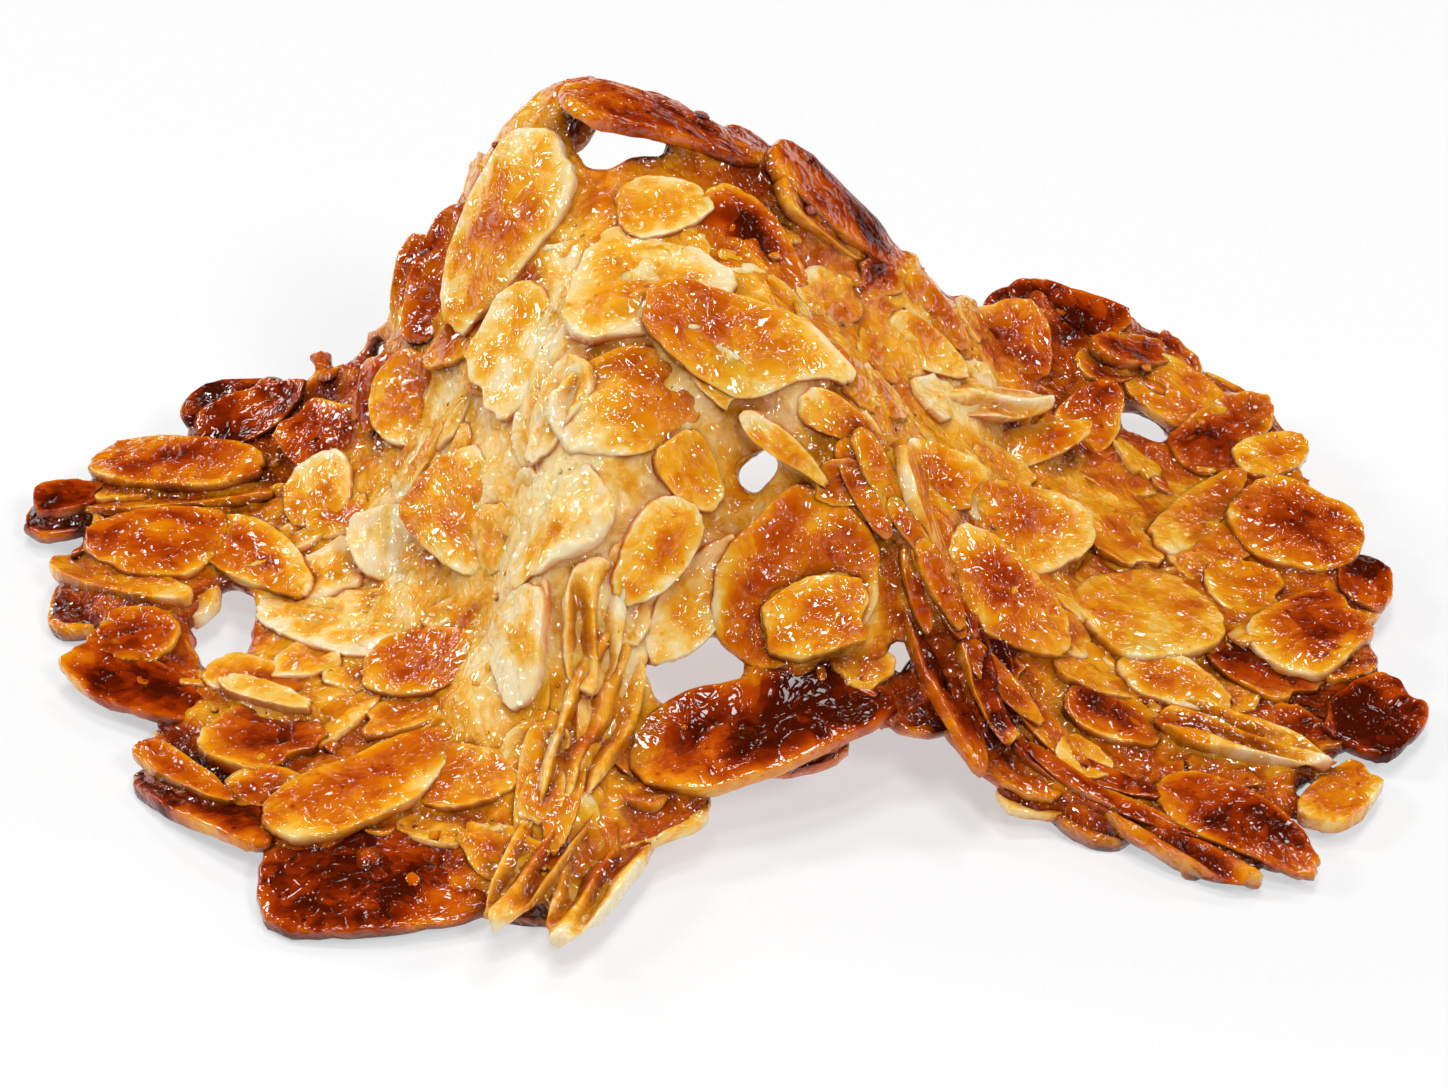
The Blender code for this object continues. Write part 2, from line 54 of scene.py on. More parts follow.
# The sheet and its almonds, as the part has them
DRAPE_SOFTNESS = 3.0
CRAG_HEIGHT = 0.35
RIM_SECTORS = 56
FLAKE_TILT = 7.0
FLAKE_THICKNESS = (1.15, 1.65)
FLAKE_SOFTNESS = 0.7
MOST_BEND = 2.5
PLAIN_ROUGHNESS = 0.17
WRINKLED_ROUGHNESS = 0.42
PLEAT_HEIGHT = 0.45
PLEAT_WIDTH = 2.6
FILLER_SPACING = 11.0
UNDERSIDE_SPACING = 19.0
RIM_FLAKE_STEP = 3
HOLE_CLEARANCE = 7.0

# Smaller bits of almond
SHARD_TILT = 16.0
SHARD_RAGGEDNESS = 2.2
SHARD_SPACING = 5.2
SHARD_OVERLAP = 0.9  # as a share of an almond's own size
SHARD_HOLE_CLEARANCE = 3.2
SHARD_TOP = 40.0  # none lie higher, nor do drips, so that the crest stays clean
FOLD_SLIVERS = 16
FOOT_SLIVERS = 10

# Points round each flake and from face to face, in the flake itself and in the caramel's sunken copy of it
PLACED_GRID = (56, 24)
SMALL_GRID = (36, 14)
BIT_GRID = (28, 12)
SUNK_GRID = (20, 8)
SUNK_BIT_GRID = (16, 8)

# The caramel
CARAMEL_GRID = 0.8
CARAMEL_WIDE = 134
CARAMEL_DEEP = 96
CARAMEL_MIDDLE = (0, -2, 0)
CARAMEL_THICKNESS = 1.9
CARAMEL_VOXEL = 0.58
CARAMEL_LUMP = 0.85
CARAMEL_RIPPLE = 0.14
CARAMEL_CREASE = 0.5
CARAMEL_SHRUNK = 0.18
RIM_DRAWN_IN = 0.975
RIM_RAGGEDNESS = 0.035
SUNK = 0.26  # how far the caramel's own copy of each almond lies below it
SUNK_PLEATS = 0.3
SUNK_BITS = 0.28
DRIP_COUNT = 70
BEAD_COUNT = 130
CRUMB_COUNT = 60
ABOVE_ALL = 80  # a height above the whole wafer
CRUMB_TOAST = 0.5  # they lie only where the wafer is at least as brown as this
CRUMB_STEEPEST = 0.5  # and no steeper than this rise of its normal

# The studio: square lights at places in metres, with their sides in metres and their power in watts
SoftBox = namedtuple("SoftBox", "place size power")
SOFT_BOXES = {
    "top_box": SoftBox((0.04, -0.04, 1.30), 0.30, 5.4),
    "crown_box": SoftBox((-0.12, -0.56, 1.14), 0.20, 3.2),
    "back_box": SoftBox((0.36, 0.68, 1.12), 0.20, 2.4),
    "left_box": SoftBox((-1.00, 0.08, 0.76), 0.24, 4.4),
    "low_left_box": SoftBox((-0.86, 0.62, 0.42), 0.28, 3.4),
    "right_box": SoftBox((1.02, 0.30, 0.58), 0.22, 2.4),
    "front_box": SoftBox((0.52, -0.88, 0.92), 0.26, 7.6),
}
LIT_POINT = Vector((0, 0, 0.015))
STUDIO_AIR = 0.02
CARD_WHITENESS = 0.37
CARD_GLOW = 0.54
CARD_SIDE = 6  # m

# The camera
CAMERA_LENS = 121.0
CAMERA_ELEVATION = 33.0
CAMERA_DISTANCE = 450.0
CAMERA_TARGET = Vector((0, 0, 11.5))

# The drape: heights of the middle of the sheet along its folds, rim and valleys, as (x, y, z)
DRAPE = {
    "crest": [(-20, 24, 41), (-14, 21, 47), (-6, 19, 46.5), (3, 19, 42), (12, 20, 35), (19, 19, 27)],
    "left_rise": [(-64, 20, 4), (-59, 26, 5), (-49, 28, 9), (-38, 25, 15), (-31, 24, 23), (-26, 24, 31)],
    "right_back": [(25, 26, 19), (31, 33, 16), (42, 40, 11), (51, 33, 8), (58, 22, 5)],
    "right_rim": [(61, 9, 3.8), (61.5, -2, 2.9), (61, -13, 2.8), (56, -23, 2.6), (50, -33, 2.4), (45, -36, 2.2)],
    "right_fold": [(3, -2, 36.5), (7, -7, 32.5), (12, -10, 27.5), (17, -13.5, 20), (21, -18.5, 11.5),
                   (30, -27, 4), (38, -32, 2.8)],
    "front_fold": [(-12, 12, 43.5), (-11, 3, 39), (-12, -6, 33.5), (-13, -14, 28), (-14.5, -21, 20),
                   (-14, -27, 13), (-14, -34, 7.5), (-14, -40, 4.5), (-14, -44, 2.2)],
    "apron": [(2, -10, 26), (-3, -19, 15), (5, -17, 18), (4, -26, 9.5), (-8, -29, 7), (-5, -33, 6),
              (14, -22, 11.5), (10, -31, 8), (17, -26, 9)],
    "left_rim": [(-24, -43, 2.5), (-33, -42, 2.5), (-41, -35, 2.5), (-47, -24, 2.8), (-53, -13, 3),
                 (-59, -4, 3), (-63, 8, 3.5)],
    "left_floor": [(-52, 10, 4.5), (-42, 3, 6), (-43, 17, 8), (-30, -17, 6), (-35, -29, 4), (-30, -3, 10),
                   (-22, -30, 6), (-31, 11, 16), (-23, -5, 19), (-20, -14, 16), (-25, -19, 8)],
    "crown": [(-7, 6, 41), (3, 8, 38.5), (-20, 12, 36), (-19, 2, 29), (11, 6, 30), (-4, -6, 34)],
    "right_floor": [(20, -4, 20), (30, 3, 11), (38, -10, 6), (50, -8, 4.5), (50, 10, 5), (38, 22, 9),
                    (27, -14, 10), (24, 14, 18), (44, -24, 3)],
}

RIM = [
    (-63, 20), (-58, 26), (-49, 28), (-38, 25), (-31, 24), (-25, 25), (-18, 25), (-8, 22), (3, 20),
    (12, 20.5), (19, 20.5), (25, 27), (31, 34), (42, 41), (51, 34), (58, 22), (61, 9), (61.5, -2),
    (61, -13), (56, -23), (50, -33), (44, -36.5), (37, -33), (30, -29.5), (22.5, -24.5), (17, -24.5),
    (11, -28), (1, -31), (-7, -33.5), (-9.5, -39), (-14.5, -44.5), (-24, -44), (-33, -43), (-41, -36),
    (-47, -25), (-53, -14), (-59, -4), (-63, 8),
]

# Gaps in the sheet: plan place, then length, width and turn
Hole = namedtuple("Hole", "x y long wide turn")
HOLES = [
    Hole(-46.5, -3.5, 12, 5, 95), Hole(-9.5, 15.5, 8, 5, 0), Hole(2.4, -9.8, 4.2, 0.9, -15),
    Hole(-2.5, -21.5, 8.5, 4.5, 15), Hole(16.5, -19.5, 5, 2.6, 70), Hole(41, 25, 4.5, 3.5, 0),
    Hole(57.5, -4.5, 2.6, 1.8, 20), Hole(-33, 21, 3.2, 2.2, 60), Hole(31.5, -28.2, 2.6, 1.4, -30),
]
LARGER_HOLES = HOLES[:6]

# The almonds: place, turn, length and width, then lean, lift, toast from 0 for cream to 1 for burnt, and form
Flake = namedtuple("Flake", "x y turn long wide lean lift toast form")
FLAKES = {
    "left_mahogany": Flake(-52, 20.5, -25, 20, 8, -10, 1.8, 0.58, "whole"),
    "left_tip_char": Flake(-62.5, 18, 10, 8, 5, 0, 1.1, 0.88, "broken"),
    "left_long_edge": Flake(-53.5, 16, -15, 23, 5, -18, 0.9, 0.55, "sliver"),
    "left_round": Flake(-53.5, 8.5, 170, 14, 9.5, 8, 1.7, 0.55, "whole"),
    "left_inner_amber": Flake(-43.5, 4.5, -50, 17, 6.5, 0, 1.4, 0.45, "whole"),
    "left_edge_pair": Flake(-56.5, 4, -35, 17, 5, -12, 0.9, 0.5, "whole"),
    "left_mid_tan": Flake(-55, -5, 165, 10, 7, 0, 1.2, 0.6, "broken"),
    "left_low_brown": Flake(-53.5, -12, -40, 17, 7, 0, 0.8, 0.82, "whole"),
    "left_bright_sliver": Flake(-41, -16.5, -35, 10.5, 2.5, 0, 1.9, 0.15, "sliver"),
    "left_back_red": Flake(-45, 24.5, -5, 12.5, 6, 0, 1.0, 0.82, "whole"),
    "left_back_brown": Flake(-37, 16, 125, 18, 8, 12, 0.8, 0.68, "broken"),
    "left_small_pale": Flake(-37.5, 10.5, 80, 8.5, 8, 12, 1.2, 0.3, "round"),
    "left_golden_round": Flake(-23, -6, -85, 12.5, 10, 15, 1.4, 0.32, "wrinkled"),
    "left_clear_blob": Flake(-30, -0.5, -115, 8, 9, 10, 0.9, 0.03, "wrinkled"),
    "left_pale_long": Flake(-34.5, -6.5, 150, 20, 8, 0, 0.8, 0.12, "wrinkled"),
    "left_low_gold": Flake(-26, -16, -25, 14.5, 7.5, 0, 1.0, 0.46, "whole"),
    "left_block_brown": Flake(-40.5, -22.5, -35, 13, 9.5, 0, 1.0, 0.65, "broken"),
    "left_shade": Flake(-42, -13, -30, 12, 5.5, 0, 0.6, 0.42, "broken"),
    "front_gold": Flake(-31.5, -30.5, 35, 19.5, 9, 0, 2.0, 0.5, "whole"),
    "front_under_gold": Flake(-22.5, -30.5, -25, 12, 7, 0, 1.2, 0.45, "whole"),
    "front_scorched": Flake(-30, -41, -5, 21.5, 12.5, 0, 0.8, 0.83, "whole"),
    "left_front_char": Flake(-45.5, -29.5, -50, 20, 6, -8, 0.6, 0.84, "whole"),
    "left_front_sliver": Flake(-47.5, -26.5, -45, 13.5, 3, 0, 1.7, 0.6, "sliver"),
    "left_front_chip": Flake(-41.5, -30, -50, 6.5, 3.5, 0, 1.0, 0.5, "broken"),
    "foot_pale_oval": Flake(-17.5, -23, -115, 11.5, 7.5, 0, 0.9, 0.05, "whole"),
    "foot_pale_long": Flake(-12, -23, -70, 12.5, 5.5, 0, 0.9, 0.22, "pleated"),
    "foot_wrinkled": Flake(-12.5, -29.5, -90, 19, 7, 0, 0.9, 0.36, "pleated"),
    "foot_toe_left": Flake(-15.5, -39.5, -115, 20, 5.5, -20, 1.0, 0.44, "pleated"),
    "foot_toe_right": Flake(-11, -41.5, -110, 19, 6, -20, 1.0, 0.44, "pleated"),
    "foot_side_amber": Flake(-9, -28, -35, 10.5, 5, 0, 0.5, 0.5, "whole"),
    "peak_big": Flake(-19, 12.5, -155, 19.5, 11, 15, 1.7, 0.27, "whole"),
    "peak_left_orange": Flake(-29, 22.5, -135, 10.5, 5, 25, 0.5, 0.42, "whole"),
    "peak_left_red": Flake(-25.5, 17.5, -150, 14.5, 7, 25, 0.6, 0.65, "whole"),
    "peak_under": Flake(-21, 8, 165, 17, 6, 10, 0.9, 0.42, "whole"),
    "peak_pale": Flake(-18, 1, -160, 14, 10.5, 20, 1.5, 0.1, "broken"),
    "peak_left_round": Flake(-28.5, 11, -170, 9.5, 9, 20, 1.0, 0.45, "round"),
    "peak_cap": Flake(-5.5, 17, 5, 21.5, 9, -30, 1.2, 0.74, "whole"),
    "ridge_back_dark": Flake(10.5, 18, 10, 20, 8, -12, 0.9, 0.8, "whole"),
    "ridge_back_amber": Flake(9.5, 15.5, 20, 16, 5.5, -15, 0.8, 0.6, "whole"),
    "ridge_back_low": Flake(18.5, 16, -5, 10, 4.5, 15, 0.9, 0.55, "whole"),
    "crown_pale": Flake(-6.5, 0, -10, 15, 12, 0, 0.9, 0.1, "wrinkled"),
    "crown_long": Flake(2, -4, -15, 19.5, 8, 0, 1.8, 0.38, "whole"),
    "crown_amber": Flake(-5.5, 8, 20, 9, 6.5, 0, 0.8, 0.3, "whole"),
    "crown_brown": Flake(2, 7, -15, 12.5, 8, 10, 0.7, 0.66, "whole"),
    "centre_pale_big": Flake(-8.5, -9, 25, 14, 9.5, 0, 1.0, 0.32, "wrinkled"),
    "centre_small": Flake(0, -6, -30, 6.5, 4.5, 0, 1.4, 0.24, "broken"),
    "centre_strip": Flake(-13.5, -8.5, -150, 9.5, 6, 0, 1.3, 0.12, "wrinkled"),
    "centre_wrinkled": Flake(-14, -17, -165, 12.5, 7, 0, 0.9, 0.08, "wrinkled"),
    "centre_right_gold": Flake(-3.5, -11.5, -25, 8, 5.5, 0, 1.2, 0.28, "whole"),
    "apron_small": Flake(-7, -17, -90, 11, 6.5, 0, 1.4, 0.26, "whole"),
    "apron_pale_long": Flake(-3, -18, -105, 14, 6.5, 0, 0.8, 0.15, "whole"),
    "apron_brown_big": Flake(6.5, -17, -130, 17, 13.5, 0, 0.9, 0.49, "round"),
    "apron_top_gold": Flake(9, -19, 20, 11.5, 7.5, 0, 1.9, 0.44, "broken"),
    "apron_scorched": Flake(3.5, -27, 15, 25, 10.5, 0, 1.2, 0.83, "whole"),
    "fold_pale_stick": Flake(6, -10, -65, 10, 2.5, 0, 1.6, 0.22, "sliver"),
    "fold_gold_stick": Flake(10.5, -9, -10, 11, 3, 0, 1.2, 0.4, "sliver"),
    "fold_knuckle": Flake(11.5, -12, 5, 8, 4, 0, 1.2, 0.55, "broken"),
    "fold_edge_top": Flake(17, -11, -25, 12.5, 7, -25, 1.0, 0.5, "whole"),
    "fold_edge_dark": Flake(19, -21, -60, 23, 5, -20, 0.6, 0.78, "sliver"),
    "fold_char_knob": Flake(23, -20.5, -65, 14, 5, -10, 1.6, 0.86, "pleated"),
    "fold_low_brown": Flake(24.5, -26, -40, 14, 7, 0, 0.6, 0.75, "whole"),
    "right_tan_flat": Flake(24.5, -12.5, -15, 16, 8.5, 8, 1.5, 0.5, "whole"),
    "right_top_long": Flake(22, 11, 25, 20, 4, 20, 1.3, 0.2, "pleated"),
    "right_mid_long": Flake(28, 12, 40, 15, 4, 20, 1.3, 0.38, "whole"),
    "right_knuckle": Flake(19, -5.5, 15, 11, 6, 30, 1.3, 0.45, "broken"),
    "right_round": Flake(27, -2, 30, 15, 9.5, 22, 1.6, 0.36, "whole"),
    "right_knob": Flake(34.5, 21.5, 65, 11, 6, 15, 1.2, 0.6, "whole"),
    "right_pale_round": Flake(38.5, -6.5, 30, 14, 13, 0, 1.5, 0.38, "round"),
    "right_back_flake": Flake(27, 24.5, -55, 10, 8.5, 35, 1.0, 0.6, "broken"),
    "right_back_char": Flake(34.5, 35, 10, 16, 7, 15, 0.8, 0.88, "broken"),
    "right_back_piece": Flake(40, 33.5, 35, 12, 5, -10, 1.5, 0.78, "broken"),
    "right_back_amber": Flake(37.5, 30.5, 35, 9.5, 4.5, 0, 0.9, 0.65, "whole"),
    "right_far_amber": Flake(44.5, 29, -30, 12.5, 8.5, 0, 1.2, 0.5, "broken"),
    "right_far_red": Flake(48.5, 25, 55, 15, 7.5, 0, 1.0, 0.7, "wrinkled"),
    "right_far_gold": Flake(53, 23, 40, 9, 5.5, 0, 0.8, 0.4, "whole"),
    "right_diagonal": Flake(45, 12, 60, 18, 5, 0, 1.2, 0.42, "whole"),
    "right_mahogany": Flake(54, 10.5, -25, 13, 12.5, 10, 1.8, 0.58, "round"),
    "right_char_small": Flake(60, 4, -95, 8, 5.5, 0, 1.0, 0.86, "round"),
    "right_mid_pale": Flake(46, 5.5, 0, 10, 9.5, 8, 0.9, 0.36, "broken"),
    "right_mid_gold": Flake(49, 0.5, 5, 9, 7.5, 8, 0.8, 0.42, "broken"),
    "right_brown_big": Flake(54.5, -5, 50, 15.5, 9.5, 8, 1.7, 0.58, "broken"),
    "right_edge_char": Flake(59.5, -16, 55, 13.5, 8, 0, 0.9, 0.92, "broken"),
    "right_low_pale": Flake(40.5, -15, -25, 11, 6, 0, 1.4, 0.32, "whole"),
    "right_low_long": Flake(46.5, -22, -20, 16, 6, 0, 1.7, 0.42, "pleated"),
    "right_low_char": Flake(45, -33.5, -40, 17, 7, 0, 1.6, 0.74, "whole"),
    "right_low_side": Flake(55, -27.5, 55, 12.5, 5.5, 0, 0.6, 0.42, "broken"),
    "right_front_char": Flake(40, -34.5, -40, 17, 6, 0, 0.6, 0.74, "pleated"),
    "right_knob_ball": Flake(31.5, -26, -25, 5.5, 5, 0, 1.4, 0.35, "round"),
    "right_low_mid": Flake(33.5, -15, -10, 9.5, 6, 0, 0.8, 0.45, "whole"),
    "right_shade": Flake(49.5, -11.5, -40, 14, 8, 0, 0.5, 0.8, "broken"),
    "right_inner_a": Flake(18, 12, 10, 10, 5, 15, 0.8, 0.3, "whole"),
    "right_inner_b": Flake(37, 3.5, -40, 9.5, 8, 0, 0.8, 0.36, "broken"),
    "right_inner_c": Flake(34.5, -20.5, -20, 9.5, 5.5, 0, 1.0, 0.66, "whole"),
}

# Almonds that are darker at their tip, or at their other end where this is below 0
SCORCHED_END = {
    "apron_scorched": 0.16, "front_scorched": -0.06, "crown_long": -0.26, "left_mahogany": 0.1, "peak_cap": 0.1,
    "right_low_char": 0.14, "right_low_long": -0.12, "right_brown_big": 0.2, "left_low_brown": 0.15,
    "foot_toe_left": -0.2, "foot_toe_right": -0.2, "centre_pale_big": 0.2, "left_round": 0.1,
}

# How much browner an almond is in its middle than at its rim, where that is plain to see
BROWN_CORE = {"peak_big": 0.42, "crown_pale": 0.35, "apron_top_gold": 0.1, "right_round": 0.3, "right_brown_big": 0.4}


# The drape


def fit_drape():
    """Control points and weights of the smooth surface through every drape line."""
    points = np.array([point for line in DRAPE.values() for point in line])
    count = len(points)
    reach = np.linalg.norm(points[:, None, :2] - points[None, :, :2], axis=2)
    plane = np.c_[np.ones(count), points[:, :2]]
    system = np.block([
        [-np.hypot(reach, DRAPE_SOFTNESS) - CRAG_HEIGHT * np.eye(count), plane],
        [plane.T, np.zeros((3, 3))],
    ])
    return points, np.linalg.solve(system, np.r_[points[:, 2], np.zeros(3)])


DRAPE_POINTS, DRAPE_WEIGHTS = fit_drape()


def height(x, y):
    """Heights of the middle of the sheet over plan points."""
    x, y = np.asarray(x, float), np.asarray(y, float)
    reach = np.hypot(x[..., None] - DRAPE_POINTS[:, 0], y[..., None] - DRAPE_POINTS[:, 1])
    level, slope_x, slope_y = DRAPE_WEIGHTS[-3:]
    return -np.hypot(reach, DRAPE_SOFTNESS) @ DRAPE_WEIGHTS[:-3] + level + slope_x * x + slope_y * y


def normal(x, y, step=0.6):
    """Upward normal of the sheet over a plan point."""
    slope_x = (height(x + step, y) - height(x - step, y)) / (2 * step)
    slope_y = (height(x, y + step) - height(x, y - step)) / (2 * step)
    return Vector((-slope_x, -slope_y, 1)).normalized()


def rim_points(count):
    """Points along the closed Catmull-Rom curve through RIM."""
    points = []
    for step in range(count):
        index, share = divmod(step * len(RIM) / count, 1)
        a, b, c, d = (Vector(RIM[(int(index) + k - 1) % len(RIM)]) for k in range(4))
        points.append(0.5 * (2 * b + (c - a) * share + (2 * a - 5 * b + 4 * c - d) * share**2
                             + (3 * b - a - 3 * c + d) * share**3))
    return points


RIM_CURVE = rim_points(RIM_SECTORS)


def inside_rim(x, y, share=1.0):
    """Whether a plan point lies inside the rim drawn in to that share of its reach."""
    inside = False
    for a, b in zip(RIM_CURVE, RIM_CURVE[1:] + RIM_CURVE[:1]):
        crosses = (a.y * share > y) != (b.y * share > y)
        if crosses and x < share * (a.x + (y / share - a.y) * (b.x - a.x) / (b.y - a.y)):
            inside = not inside
    return inside


def clear_of_holes(x, y):
    return all(math.hypot(x - hole.x, y - hole.y) > HOLE_CLEARANCE for hole in LARGER_HOLES)


def along_and_across(item, x, y):
    """How far a plan point lies from the middle of a gap or an almond, along it and across it."""
    turn = math.radians(item.turn)
    along = (x - item.x) * math.cos(turn) + (y - item.y) * math.sin(turn)
    across = (y - item.y) * math.cos(turn) - (x - item.x) * math.sin(turn)
    return along, across


def in_hole(x, y, clearance=0.0):
    """Whether a plan point lies in a gap of the sheet, or that close to one. The gap's edge wanders a little."""
    wander = 1 + 0.25 * noise.noise((0.4 * x, 0.4 * y, 3.3))
    for hole in HOLES:
        along, across = along_and_across(hole, x, y)
        if math.hypot(along / (0.5 * hole.long + clearance), across / (0.5 * hole.wide + clearance)) < wander:
            return True
    return False


# Where the smaller almonds lie, by the same draws as in the part


def scattered(spacing, lift, rng, taken):
    """Flakes at random places, no closer than spacing to each other or to the plan points in taken."""
    found = []
    taken = list(taken)
    for _ in range(900):
        x, y = rng.uniform(-62, 62), rng.uniform(-44, 41)
        turn, long, wide = rng.uniform(0, 360), rng.uniform(11, 16), rng.uniform(6.5, 9)
        near = any(math.hypot(x - a, y - b) < spacing for a, b in taken)
        if near or not inside_rim(x, y, 0.93) or not clear_of_holes(x, y):
            continue
        taken.append((x, y))
        found.append(Flake(x, y, turn, long, wide, 0, lift, toast_near(x, y), "whole"))
    return found


def under_rim(rng):
    """Flakes that peep out from under the rim, roughly along it."""
    found = []
    for k in range(0, RIM_SECTORS, RIM_FLAKE_STEP):
        place = RIM_CURVE[k] * rng.uniform(0.92, 0.97)
        along = RIM_CURVE[(k + 1) % RIM_SECTORS] - RIM_CURVE[k]
        turn = math.degrees(math.atan2(along.y, along.x)) + rng.uniform(-40, 40)
        toast = toast_near(place.x, place.y) + 0.08
        found.append(Flake(place.x, place.y, turn, rng.uniform(10, 15), rng.uniform(6, 8), 0, -0.7, toast, "whole"))
    return found


def toast_near(x, y):
    """How toasted the wafer is over plan points, between its placed almonds."""
    x, y = np.asarray(x, float), np.asarray(y, float)
    places = np.array([(flake.x, flake.y) for flake in FLAKES.values()])
    toasts = np.array([flake.toast for flake in FLAKES.values()])
    pull = 1 / (np.hypot(x[..., None] - places[:, 0], y[..., None] - places[:, 1]) + 2.5) ** 4
    return (pull @ toasts) / pull.sum(axis=-1)


def smaller_flakes():
    rng = random.Random(11)
    placed = [(flake.x, flake.y) for flake in FLAKES.values()]
    groups = {
        "filler": scattered(FILLER_SPACING, 0.6, rng, placed),
        "underside": scattered(UNDERSIDE_SPACING, -0.9, rng, []),
        "rim": under_rim(rng),
    }
    return {f"{group}_{index}": flake for group, found in groups.items() for index, flake in enumerate(found)}


def on_placed_almond(x, y):
    """Whether a plan point lies on one of the placed almonds, or nearly at its edge."""
    for flake in FLAKES.values():
        along, across = along_and_across(flake, x, y)
        if math.hypot(2 * along / flake.long, 2 * across / flake.wide) < SHARD_OVERLAP:
            return True
    return False


def shards():
    """Broken bits of almond, half sunk in the caramel wherever it would be bare."""
    rng = random.Random("shards")
    found, places = {}, []
    for _ in range(5000):
        x, y = rng.uniform(-63, 63), rng.uniform(-45, 41)
        if not inside_rim(x, y, 0.93) or in_hole(x, y, SHARD_HOLE_CLEARANCE) or on_placed_almond(x, y):
            continue
        place = Vector((x, y, height(x, y)))
        if place.z > SHARD_TOP or any((place - other).length < SHARD_SPACING for other in places):
            continue
        places.append(place)
        toast = float(toast_near(x, y)) + rng.uniform(-0.2, 0.08)
        form = "wrinkled" if toast < 0.4 else rng.choice(("shard", "shard", "wrinkled", "sliver"))
        found[f"shard_{len(found)}"] = Flake(x, y, rng.uniform(0, 360), rng.uniform(6, 11), rng.uniform(4, 6.5), 0,
                                             rng.uniform(0.1, 0.8), toast, form)
    return found


def drawn_out_slivers(seed, line, count, spread, longs, wides, lifts, toasts):
    """Slivers drawn out along a fold, one over the other, from its first toast to its last."""
    rng = random.Random(seed)
    line = [Vector(point) for point in line]
    found = {}
    for k in range(count):
        index, share = divmod(k * (len(line) - 1) / count, 1)
        start, end = line[int(index)], line[int(index) + 1]
        place = start.lerp(end, share) + Vector((rng.uniform(-spread, spread), rng.uniform(-1.6, 1.6), 0))
        turn = turn_along(place.x, place.y, end - start) + rng.uniform(-9, 9)
        toast = toasts[0] + (toasts[1] - toasts[0]) * k / count + rng.uniform(-0.12, 0.12)
        found[f"{seed}_sliver_{k}"] = Flake(place.x, place.y, turn, rng.uniform(*longs), rng.uniform(*wides), 0,
                                            rng.uniform(*lifts), toast, "sliver")
    return found


def fold_slivers():
    right = drawn_out_slivers("fold", DRAPE["right_fold"][2:], FOLD_SLIVERS, spread=1.9, longs=(8, 14),
                              wides=(1.9, 3.2), lifts=(0.9, 1.9), toasts=(0.42, 0.8))
    front = drawn_out_slivers("foot", DRAPE["front_fold"][4:-1], FOOT_SLIVERS, spread=3, longs=(9, 15),
                              wides=(2.6, 4.4), lifts=(0.2, 0.9), toasts=(0.14, 0.5))
    return {**right, **front}


# Almond flakes


def turned_to_front(face, lean):
    """The direction face, turned by lean degrees towards the front of the wafer."""
    front = Vector((0, -math.cos(math.radians(33)), math.sin(math.radians(33))))
    return Matrix.Rotation(math.radians(lean), 3, face.cross(front).normalized()) @ face


def turn_along(x, y, direction):
    """The turn of a flake that lies along a direction over a plan point."""
    face = normal(x, y)
    along = Vector((face.z, 0, -face.x)).normalized()
    return math.degrees(math.atan2(direction.dot(face.cross(along)), direction.dot(along)))


def flake_matrix(flake, roll, pitch):
    """Places a flake: X along it, Y across it and Z out of its face."""
    sheet_normal = normal(flake.x, flake.y)
    face = turned_to_front(sheet_normal, flake.lean)
    along = Vector((face.z, 0, -face.x)).normalized()
    axes = Matrix((along, face.cross(along), face)).transposed()
    axes = axes @ Matrix.Rotation(math.radians(flake.turn), 3, "Z")
    axes = axes @ Matrix.Rotation(math.radians(roll), 3, "X") @ Matrix.Rotation(math.radians(pitch), 3, "Y")
    place = Vector((flake.x, flake.y, height(flake.x, flake.y))) + flake.lift * sheet_normal
    return Matrix.Translation(place) @ axes.to_4x4()


def bend_of_sheet(flake, x, y):
    """How far the sheet rises over plan points, above the plane that touches it under the flake's middle."""
    face = normal(flake.x, flake.y)
    plane = height(flake.x, flake.y) - (face.x * (x - flake.x) + face.y * (y - flake.y)) / face.z
    return np.clip(height(x, y) - plane, -MOST_BEND, MOST_BEND)


def blunted(value, power=0.86):
    """A sine or cosine with its swing filled out, for an oval that is blunter than an ellipse."""
    return math.copysign(abs(value) ** power, value)


def outline(flake, angle, wobble):
    """A sliced almond's edge at an angle: an egg with a narrower tip, cut short where it is broken."""
    x = 0.5 * flake.long * blunted(math.cos(angle)) * wobble
    sharpness = 0 if flake.form == "round" else 0.28
    y = 0.5 * flake.wide * blunted(math.sin(angle)) * (1 - sharpness * math.cos(angle)) * wobble
    if flake.form in ("broken", "shard"):
        x = min(x, 0.30 * flake.long + 0.3 * y + 0.35 * math.sin(1.9 * y))
    return x, y


EDGE_START = 0.70  # where, from a flake's middle to its edge, its rounded edge begins
EDGE_REACH = 0.94
RIM_START = 0.83  # where its paler rim begins


def edge_profile(share):
    """How far out a ring lies and how thick the flake is there, from share 0 at its middle to 1 at its edge."""
    if share < EDGE_START:
        return EDGE_REACH * share / EDGE_START, 1.0
    turn = 0.5 * math.pi * (share - EDGE_START) / (1 - EDGE_START)
    return EDGE_REACH + (1 - EDGE_REACH) * math.sin(turn), math.cos(turn) ** 0.55


